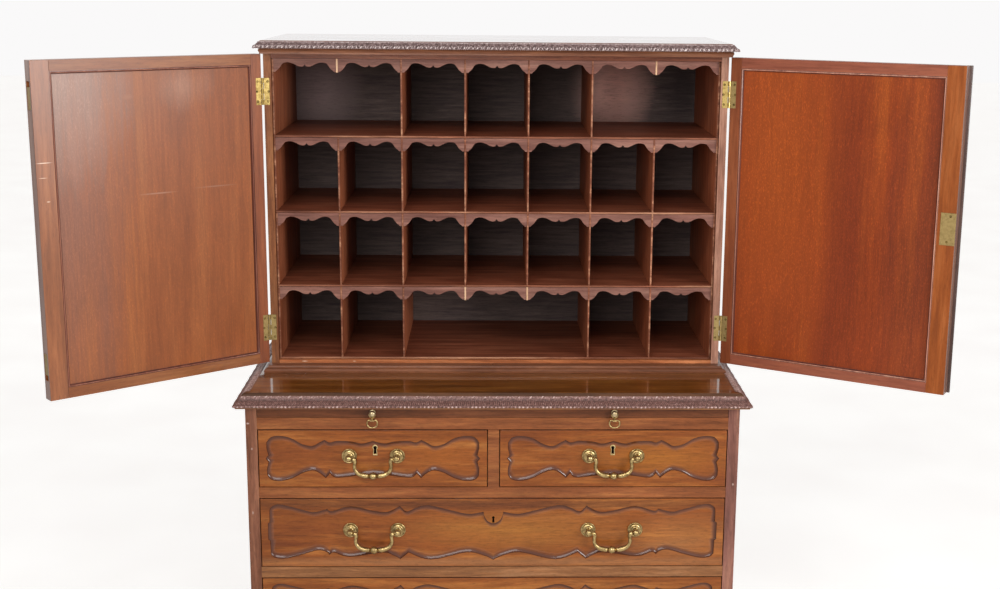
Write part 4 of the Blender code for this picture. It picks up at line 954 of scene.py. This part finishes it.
for side, word, stileFinishes, railFinish, beadFinishes in (
        (-1, "left", (leftStile, leftEdge, leftMeeting), leftRail, (leftBead, leftBeadCrestHighlight)),
        (1, "right", (rightStile, rightEdge, rightMeeting), rightRail, (rightBead, beadCrestHighlight))):
    # hollows for the hinge leaves, and for the flush bolts or the lock
    past = door["edge"] + door["clear"]
    leafSeats = [((-door["clear"], door["pinOut"] + door["hingeReach"] + fit),
                  (inner - door["leaf"] - fit, inner + door["clear"]),
                  (z - door["hingeLong"] / 2 - fit, z + door["hingeLong"] / 2 + fit)) for z in hingeHeights]
    if side < 0:
        middle = (inner + outer) / 2
        seats = [((door["edge"] - door["boltDeep"], past),
                  (middle - door["boltHalf"], middle + door["boltHalf"]),
                  sorted(end + way * along for along in door["boltSeat"]))
                 for end, way in ((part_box("flush_bolt_top")[1].z, -1), (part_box("flush_bolt_bottom")[0].z, 1))]
    else:
        low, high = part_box("door_lock")
        middle = (low.z + high.z) / 2
        seats = [((door["edge"] - door["plateLong"] - fit, past),
                  (inner - door["plateThick"] - fit, inner + door["clear"]), (low.z - fit, high.z + fit)),
                 ([door["edge"] - along for along in door["lockAcross"]],
                  (inner - door["lockDeep"], inner + door["clear"]),
                  (middle - door["lockHalf"], middle + door["lockHalf"]))]
    stiles = []
    for name, across, hollows in (("_hinge_stile", (door["pinOut"] - door["stileOver"], beadLeft), leafSeats),
                                  ("_meeting_stile", (beadRight, door["edge"]), seats)):
        stiles.append(block(word + name, across, (outer, inner), (doorLow, doorHigh), door["arris"]))
        for hollow in hollows:
            cutWith(stiles[-1], block("seat", *hollow))
    stiles = joined(word + "_door_stiles", stiles)
    finish(stiles, *stileFinishes)
    pickFaces(stiles, lambda face: face.center.x > door["edge"] - door["meetingStile"], 2)
    pickFaces(stiles, lambda face: face.normal.x > 0.7 and face.center.x > door["edge"] - 0.001)
    rails = joined(word + "_door_rails", [
        block("rail", (beadLeft + door["railSunk"], beadRight - door["railSunk"]),
              (outer + door["railSunk"], inner - door["railSunk"]), z, door["railArris"])
        for z in ((doorLow, beadLow), (beadHigh, doorHigh))])
    finish(rails, railFinish)
    beads = joined(word + "_door_beads", [beadRing(inner, 1, door["insideFoot"]),
                                          beadRing(outer, -1, door["outsideFoot"])])
    finish(beads, *beadFinishes)
    pickFaces(beads, lambda face: face.center.y > inner - door["crest"])       # the crest is painted pale as a highlight
    pieces = [stiles, rails, beads]
    if side > 0:
        lip = block("right_door_lip", (door["edge"] - door["lipInside"], door["edge"] + door["lip"]),
                    (outer - door["lipThick"], outer - fit), (doorLow, doorHigh), door["lipArris"], 3)
        finish(lip, lipMahogany, lipInside)
        pickFaces(lip, lambda face: face.normal.y > 0.5)
        pieces.append(lip)
    for piece in pieces:
        hang(piece, side)
        planed(piece, 30)
        fitTo(piece, word + "_door", "figured_mahogany")
    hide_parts(word + "_door_frame")
print("doors framed")


# hinge and lock screws

screw = {
    # turned head, (radius, height above the leaf) in mm
    "head": mm((2.3, -0.6), (2.3, 0), (2.07, 0.18), (0.5, 0.25)),
    "slotHalf": (0.00276, 0.00025), "slotFrom": -0.0003, "slotTo": 0.001,
    # up from the leaf's middle and across from the pin; on the lock, from the edge and from its two ends
    "leaf": ((-0.0185, 0.0072), (0.0, 0.0088), (0.0185, 0.0072)), "lock": (0.0100, 0.0140), "lockEnd": 0.006,
    # degrees the slot is turned: first screw, each next one, each door
    "spin": (35, 47, 20),
}
screwHead = turned("screw_model", screw["head"], 20)
slotLong, slotWide = screw["slotHalf"]
cutWith(screwHead, block("slot", (-slotLong, slotLong), (-slotWide, slotWide),
                         (screw["slotFrom"], screw["slotTo"])))
smooth(screwHead, 30)
faceIn, faceOut = Matrix.Rotation(quarter, 4, "X"), Matrix.Rotation(-quarter, 4, "X")
for side, word in ((-1, "left"), (1, "right")):
    onCase, onDoor = [], []
    pin, turn = doorPlace(side)
    swing = Matrix.Translation(pin) @ Matrix.Rotation(turn, 4, "Z")
    for z in hingeHeights:
        for count, (up, across) in enumerate(screw["leaf"]):
            first, each, perDoor = screw["spin"]
            spin = Matrix.Rotation(math.radians(first + each * count + perDoor * side), 4, "Z")
            aside = -side * (door["pinOut"] + across)
            # on the door leaf, facing back when the door is shut
            move = swing @ Matrix.Translation((aside, -door["gap"], z + up)) @ faceOut
            onDoor.append(copyTo(screwHead, "screw", move @ spin))
            # on the case leaf, facing the front
            move = Matrix.Translation((pin.x + aside, pin.y + door["gap"], z + up)) @ faceIn
            onCase.append(copyTo(screwHead, "screw", move @ spin))
    if side > 0:
        low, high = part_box("door_lock")
        for across, z in zip(screw["lock"], (high.z - screw["lockEnd"], low.z + screw["lockEnd"])):
            move = swing @ Matrix.Translation((across - door["edge"], -door["gap"], z)) @ faceOut
            onDoor.append(copyTo(screwHead, "screw", move))
    for name, heads, body in ((word + "_door_leaf_screws", onDoor, word + "_door"),
                              (word + "_case_leaf_screws", onCase, "carcase")):
        heads = joined(name, heads)
        finish(heads, screwBrass)
        fitTo(heads, body, "lacquered_brass")
discard(screwHead)
print("screws driven")


# carved cornice and table edge

carving = {"rows": 20, "perUnit": 44, "tuck": 0.05, "tucked": 0.0006, "filletFrom": 9.8, "filletHigh": 0.55,
           # one repeat of each band: length and girth in mm
           "cornice": (41.5, 14.7), "edge": (41.0, 19.0), "border": (41.0, 24.75),
           # ridges: (middle, half width, height, beads in one repeat, share left between the beads)
           "small beads": (1.7, 0.9, 0.65, 11, 0.35), "nulling": (4.2, 1.7, 1.0, 6, 0.25),
           "ribs": (8.6, 3.0, 0.50, 12, 0.0), "upper bead": (14.8, 2.8, 0.42, 0, 1.0)}
# petals of one repeat: (along, up the band, lean in degrees, half length, half width, height), mm
petals = {
    "cornice": (
        (3.5, 4.6, 52, 3.2, 1.2, 0.85), (7.6, 5.4, 40, 3.4, 1.1, 0.7), (11.6, 4.3, 62, 2.6, 1, 0.95),
        (15.2, 6.2, 20, 3, 0.9, 0.6), (18.8, 4.4, 128, 2.8, 1.2, 0.9), (22.8, 5.6, 140, 3.3, 1, 0.65),
        (26.9, 4.4, 48, 3, 1.2, 0.95), (30.8, 5.9, 30, 2.8, 0.9, 0.6), (34.6, 4.6, 118, 2.8, 1.1, 0.8),
        (38.4, 5.2, 60, 3, 1, 0.7), (9.4, 3.2, 0, 0.9, 0.9, 0.9), (24.8, 3.2, 0, 0.9, 0.9, 0.85),
        (32.9, 3.4, 0, 0.8, 0.8, 0.75), (16.8, 3.2, 0, 0.8, 0.8, 0.7), (2, 8.4, 8, 4, 0.7, 0.35),
        (14, 8.6, 4, 5, 0.7, 0.4), (28, 8.4, -6, 5.5, 0.7, 0.35)),
    "edge": (
        (5, 14.6, 24, 4.6, 0.9, 0.95), (9.4, 13.3, 60, 2, 0.9, 0.55), (13.4, 15.4, -18, 2.4, 0.8, 0.6),
        (17.2, 13.6, 118, 2, 0.8, 0.5), (25.4, 14.4, 26, 4.6, 0.9, 0.85), (29.8, 13.2, 62, 2, 0.9, 0.5),
        (34, 15.4, -20, 2.4, 0.8, 0.65), (37.6, 13.6, 112, 2, 0.8, 0.45)),
    "border": (
        (4, 19.4, 40, 4, 1.1, 1), (10, 20.6, 130, 3.6, 1, 0.9), (16, 19.2, 36, 4.2, 1.1, 1),
        (22.5, 20.8, 124, 3.4, 1, 0.8), (29, 19.4, 44, 4, 1.1, 1), (35.5, 20.6, 134, 3.6, 1, 0.9)),
}


def mergedCopy(node, name):
    piece = copyTo(nodes[node], name, Matrix.Identity(4))
    weld(piece, 0.00002)
    return piece


def alongProfile(profile, share):
    # point of a polyline of (out, z) at this share of its length, and its outward normal
    lengths = [math.dist(a, b) for a, b in zip(profile, profile[1:])]
    target = share * sum(lengths)
    for (a, b), length in zip(zip(profile, profile[1:]), lengths):
        if target <= length or (a, b) == (profile[-2], profile[-1]):
            t = min(1.0, target / length)
            tangent = Vector((b[0] - a[0], b[1] - a[1])).normalized()
            return (Vector((a[0] + (b[0] - a[0]) * t, a[1] + (b[1] - a[1]) * t)),
                    Vector((tangent.y, -tangent.x)))
        target -= length


def carvedStrip(name, sides, profile, unit, relief, materials, sink, plainFrom=1.0):
    # a strip drawn along each side, carved up to plainFrom and polished above it
    strips = []
    for start, end, out, turnStart, turnEnd in sides:
        units = max(1, round((end - start).length / unit))
        clearSelection()
        bpy.ops.mesh.primitive_grid_add(x_subdivisions=units * carving["perUnit"],
                                        y_subdivisions=carving["rows"], size=1)
        strip = bpy.context.object
        pickFaces(strip, lambda face: face.center.y + 0.5 > plainFrom)
        along = (end - start).normalized()
        values = []
        for vertex in strip.data.vertices:
            s, t = vertex.co.x + 0.5, vertex.co.y + 0.5
            point, normal = alongProfile(profile, t)
            amount = relief((s * units) % 1.0, t)
            values.append(amount)
            fade = min(1.0, min(t, 1 - t) / carving["tuck"])  # foot and top are tucked in behind the core
            lift = -sink * (1 - amount * fade) - carving["tucked"] * (1 - fade)
            if t > plainFrom:
                lift *= (1 - t) / (1 - plainFrom)      # the polished part runs out flush with the board
            grow = point.x + normal.x * lift
            # mitred ends: the strip grows longer as it stands further out
            first = start - along * (grow * turnStart)
            last = end + along * (grow * turnEnd)
            place = first.lerp(last, s) + out * grow
            vertex.co = (place.x, place.y, point.y + normal.y * lift)
        strip.data.attributes.new("relief", "FLOAT", "POINT").data.foreach_set("value", values)
        strip.data.update()
        strips.append(strip)
    strip = joined(name, strips)
    weld(strip, 0.00005)
    bpy.ops.object.shade_smooth()
    finish(strip, *materials)
    fitTo(strip, "carcase", "dark_mahogany")


def petalHeight(kind, along, up):
    unit = carving[kind][0]
    height = 0.0
    for centre, middle, lean, length, width, tall in petals[kind]:
        shift = (along - centre + unit / 2) % unit - unit / 2
        c, n = math.cos(math.radians(lean)), math.sin(math.radians(lean))
        u, v = (shift * c + (up - middle) * n) / length, ((up - middle) * c - shift * n) / width
        height = max(height, tall * (1 - u * u - v * v))
    return height


def ridge(kind, s, up):
    # a rounded ridge along the band, cut into beads
    middle, half, tall, count, kept = carving[kind]
    beads = kept + (1 - kept) * math.sin(math.pi * s * count) ** 2
    return tall * max(0.0, 1 - ((up - middle) / half) ** 2) * beads


def leafRelief(s, t):
    # acanthus sprays over a row of small beads, a plain fillet above
    unit, girth = carving["cornice"]
    up = t * girth
    fillet = carving["filletHigh"] if up > carving["filletFrom"] else 0.0
    return max(ridge("small beads", s, up), fillet, petalHeight("cornice", s * unit, up))


def scrollRelief(s, t, band="edge"):
    # table edge: slanting leaves on the upper bead, ribs in the hollow, nulling on the lower bead
    unit, girth = carving[band]
    up = t * girth
    nulling = ridge("nulling", s, up) * (0.8 + 0.2 * math.sin(2 * math.pi * s))
    return max(nulling, ridge("ribs", s, up), ridge("upper bead", s, up), petalHeight("edge", s * unit, up))


def borderRelief(s, t):
    # at the sides a border of leaves runs on over the top
    unit, girth = carving["border"]
    up = t * girth
    ground = 0.60 * min(1.0, max(0.0, (up - 16.0) / 2.0))
    return max(scrollRelief(s, t, "border"), ground, ground + 0.4 * petalHeight("border", s * unit, up))


def bandSides(halfWide, centre, front, back):
    left, right = centre - halfWide, centre + halfWide
    return (
        (Vector((left, back, 0)), Vector((left, front, 0)), Vector((-1, 0, 0)), 0, 1),
        (Vector((left, front, 0)), Vector((right, front, 0)), Vector((0, -1, 0)), 1, 1),
        (Vector((right, front, 0)), Vector((right, back, 0)), Vector((1, 0, 0)), 1, 0),
    )


def edgeProfile(shares, out, low, high):
    return [(out * a, low + (high - low) * b) for a, b in shares]


def sinkEdge(piece, halfWide, centre, front, zLow, zHigh, sink):
    # the plain core under a carved strip lies a little further in
    near = 0.0001
    for vertex in piece.data.vertices:
        if zLow <= vertex.co.z <= zHigh:
            if vertex.co.x < centre - halfWide + near:
                vertex.co.x += sink
            if vertex.co.x > centre + halfWide - near:
                vertex.co.x -= sink
            if vertex.co.y < front + near:
                vertex.co.y += sink


cornice = {"out": 0.0160, "cover": 0.0187, "unit": 0.0415, "sink": 0.0026, "coreSink": 0.0066,
           "coreFrom": 0.0085, "low": 0.0036, "plainFrom": 0.75,
           "shares": ((0.66, 0.29), (0.98, 0.35), (1.0, 0.44), (0.90, 0.56), (0.66, 0.68), (0.52, 0.79),
                      (0.32, 0.86), (-0.24, 0.867))}
caseLow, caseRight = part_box("case_side_left")[0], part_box("case_side_right")[1].x
caseX, caseHalf = (caseLow.x + caseRight) / 2, (caseRight - caseLow.x) / 2
corniceLow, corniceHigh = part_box("cornice")
boardTop = corniceHigh.z - cornice["low"]              # the board lies flush with the top of the carving
caseFront = caseLow.y - cornice["cover"]
core = mergedCopy("cornice", "cornice_core")
sinkEdge(core, caseHalf, caseX, caseFront, corniceLow.z + cornice["coreFrom"], corniceHigh.z + 0.001,
         cornice["coreSink"])
for vertex in core.data.vertices:
    vertex.co.z = min(vertex.co.z, boardTop)
core.data.update()
finish(core, darkMoulding, corniceTop)
pickFaces(core, lambda face: face.normal.z > 0.9 and face.center.z > boardTop - 0.001)
fitTo(core, "carcase", "dark_mahogany", "cornice")
carvedStrip("cornice_carved_band", bandSides(caseHalf, caseX, caseFront, corniceHigh.y),
            edgeProfile(cornice["shares"], cornice["out"], corniceLow.z, corniceHigh.z), cornice["unit"],
            leafRelief, (corniceCarving, corniceTop), cornice["sink"], cornice["plainFrom"])

edge = {"out": 0.0218, "unit": 0.0410, "sink": 0.0024, "coreSink": 0.0046, "coreFrom": 0.0004,
        "coreTo": 0.0012, "plainFrom": 0.80,
        "foot": ((0.70, 0.0), (0.94, 0.07), (1.0, 0.21), (0.94, 0.33), (0.78, 0.42), (0.62, 0.50),
                 (0.50, 0.60), (0.44, 0.71)),
        "frontTop": ((0.34, 0.83), (0.22, 0.94), (0.0, 1.0)),
        "sideTop": ((0.34, 0.86), (0.16, 1.0), (-0.10, 1.06), (-0.42, 1.06), (-0.50, 0.99))}
chestHalf = (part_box("chest_side_right")[1].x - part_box("chest_side_left")[0].x) / 2
core = mergedCopy("chest_top", "chest_top_board")
sinkEdge(core, chestHalf, midX, frontY, topLow.z + edge["coreFrom"], topHigh.z - edge["coreTo"],
         edge["coreSink"])
finish(core, topMahogany)
fitTo(core, "carcase", "figured_mahogany", "chest_top")
left, front, right = bandSides(chestHalf, midX, frontY, topHigh.y)
carvedStrip("chest_top_front_edge", (front,),
            edgeProfile(edge["foot"] + edge["frontTop"], edge["out"], topLow.z, topHigh.z), edge["unit"],
            scrollRelief, (edgeCarving, tableNosing), edge["sink"], edge["plainFrom"])
carvedStrip("chest_top_side_edges", (left, right),
            edgeProfile(edge["foot"] + edge["sideTop"], edge["out"], topLow.z, topHigh.z),
            edge["unit"], borderRelief, (edgeCarving,), edge["sink"])
print("mouldings carved")


# room, light and camera

room = {"sky": "#faf9f9", "ambient": 0.50, "floorLift": (0.42, 0.53), "aim": Vector((0, 0, 0.9)),
        # name, place, width, height, power
        "lamps": (("overhead_strip", (-0.9, -2.6, 3.2), 3.4, 0.2, 38),
                  ("side_softbox", (1.75, -1.75, 1.5), 0.8, 0.8, 34),
                  ("front_softbox", (-0.5, -3.1, 1.9), 1.2, 1.2, 30))}
clearSelection()
bpy.ops.mesh.primitive_plane_add(size=40, location=(0, 2.0, -0.0005))
floor = bpy.context.object
floor.name = "studio_floor"
settle(floor)
floorPaint, tree, shader, paint = mottled("pale_floor_paint", 3.0, "#f6f4f2", "#faf9f7")
further = addNode(tree, "SeparateXYZ", (addNode(tree, "TexCoord", out="Object"),), "Y")
further = addNode(tree, "MapRange", (further, 0.0, 4.0, *room["floorLift"]))  # lamps fall off at the back
toCamera = addNode(tree, "LightPath", out="Is Camera Ray")                      # pale to the camera only
lift = addNode(tree, "Math", (toCamera, further), operation="MULTIPLY")
plug(shader, {"Emission Color": paint, "Emission Strength": lift})
finish(floor, floorPaint)

world = bpy.data.worlds.new("pale_room")
bpy.context.scene.world = world
world.use_nodes = True
tree = world.node_tree
rays = [addNode(tree, "LightPath", out="Is %s Ray" % kind) for kind in ("Camera", "Transmission", "Glossy")]
seen = addNode(tree, "Math", rays[:2], operation="MAXIMUM")
seen = addNode(tree, "Math", (seen, rays[2]), operation="MAXIMUM")
strength = addNode(tree, "MapRange", (seen, 0.0, 1.0, room["ambient"], 1.0))
plug(tree.nodes["Background"], {"Color": linear(room["sky"]), "Strength": strength})

for name, place, wide, high, power in room["lamps"]:
    lamp = bpy.data.lights.new(name, "AREA")
    lamp.shape = "RECTANGLE"
    lamp.size, lamp.size_y = wide, high
    lamp.energy = power
    lampObject = bpy.data.objects.new(name, lamp)
    lampObject.location = place
    lampObject.rotation_euler = (room["aim"] - Vector(place)).to_track_quat("-Z", "Y").to_euler()
    bpy.context.scene.collection.objects.link(lampObject)

view = {"lens": 51.6, "x": -0.0065, "back": 2.5411, "z": 1.6281, "yaw": 0.0296, "pitch": 0.2147,
        "roll": 0.0093, "shift": -0.032}
turn = (Matrix.Rotation(-view["yaw"], 4, "Z") @ Matrix.Rotation(quarter - view["pitch"], 4, "X")
        @ Matrix.Rotation(view["roll"], 4, "Z"))
cameraData = bpy.data.cameras.new("photo_camera")
cameraData.lens = view["lens"]
cameraData.sensor_width = 36
cameraData.shift_x = view["shift"]
camera = bpy.data.objects.new("photo_camera", cameraData)
camera.matrix_world = Matrix.Translation((midX + view["x"], frontY - view["back"], view["z"])) @ turn
bpy.context.scene.collection.objects.link(camera)
bpy.context.scene.camera = camera
bpy.context.scene.view_settings.view_transform = "Standard"
print("room lit")

clearSelection()
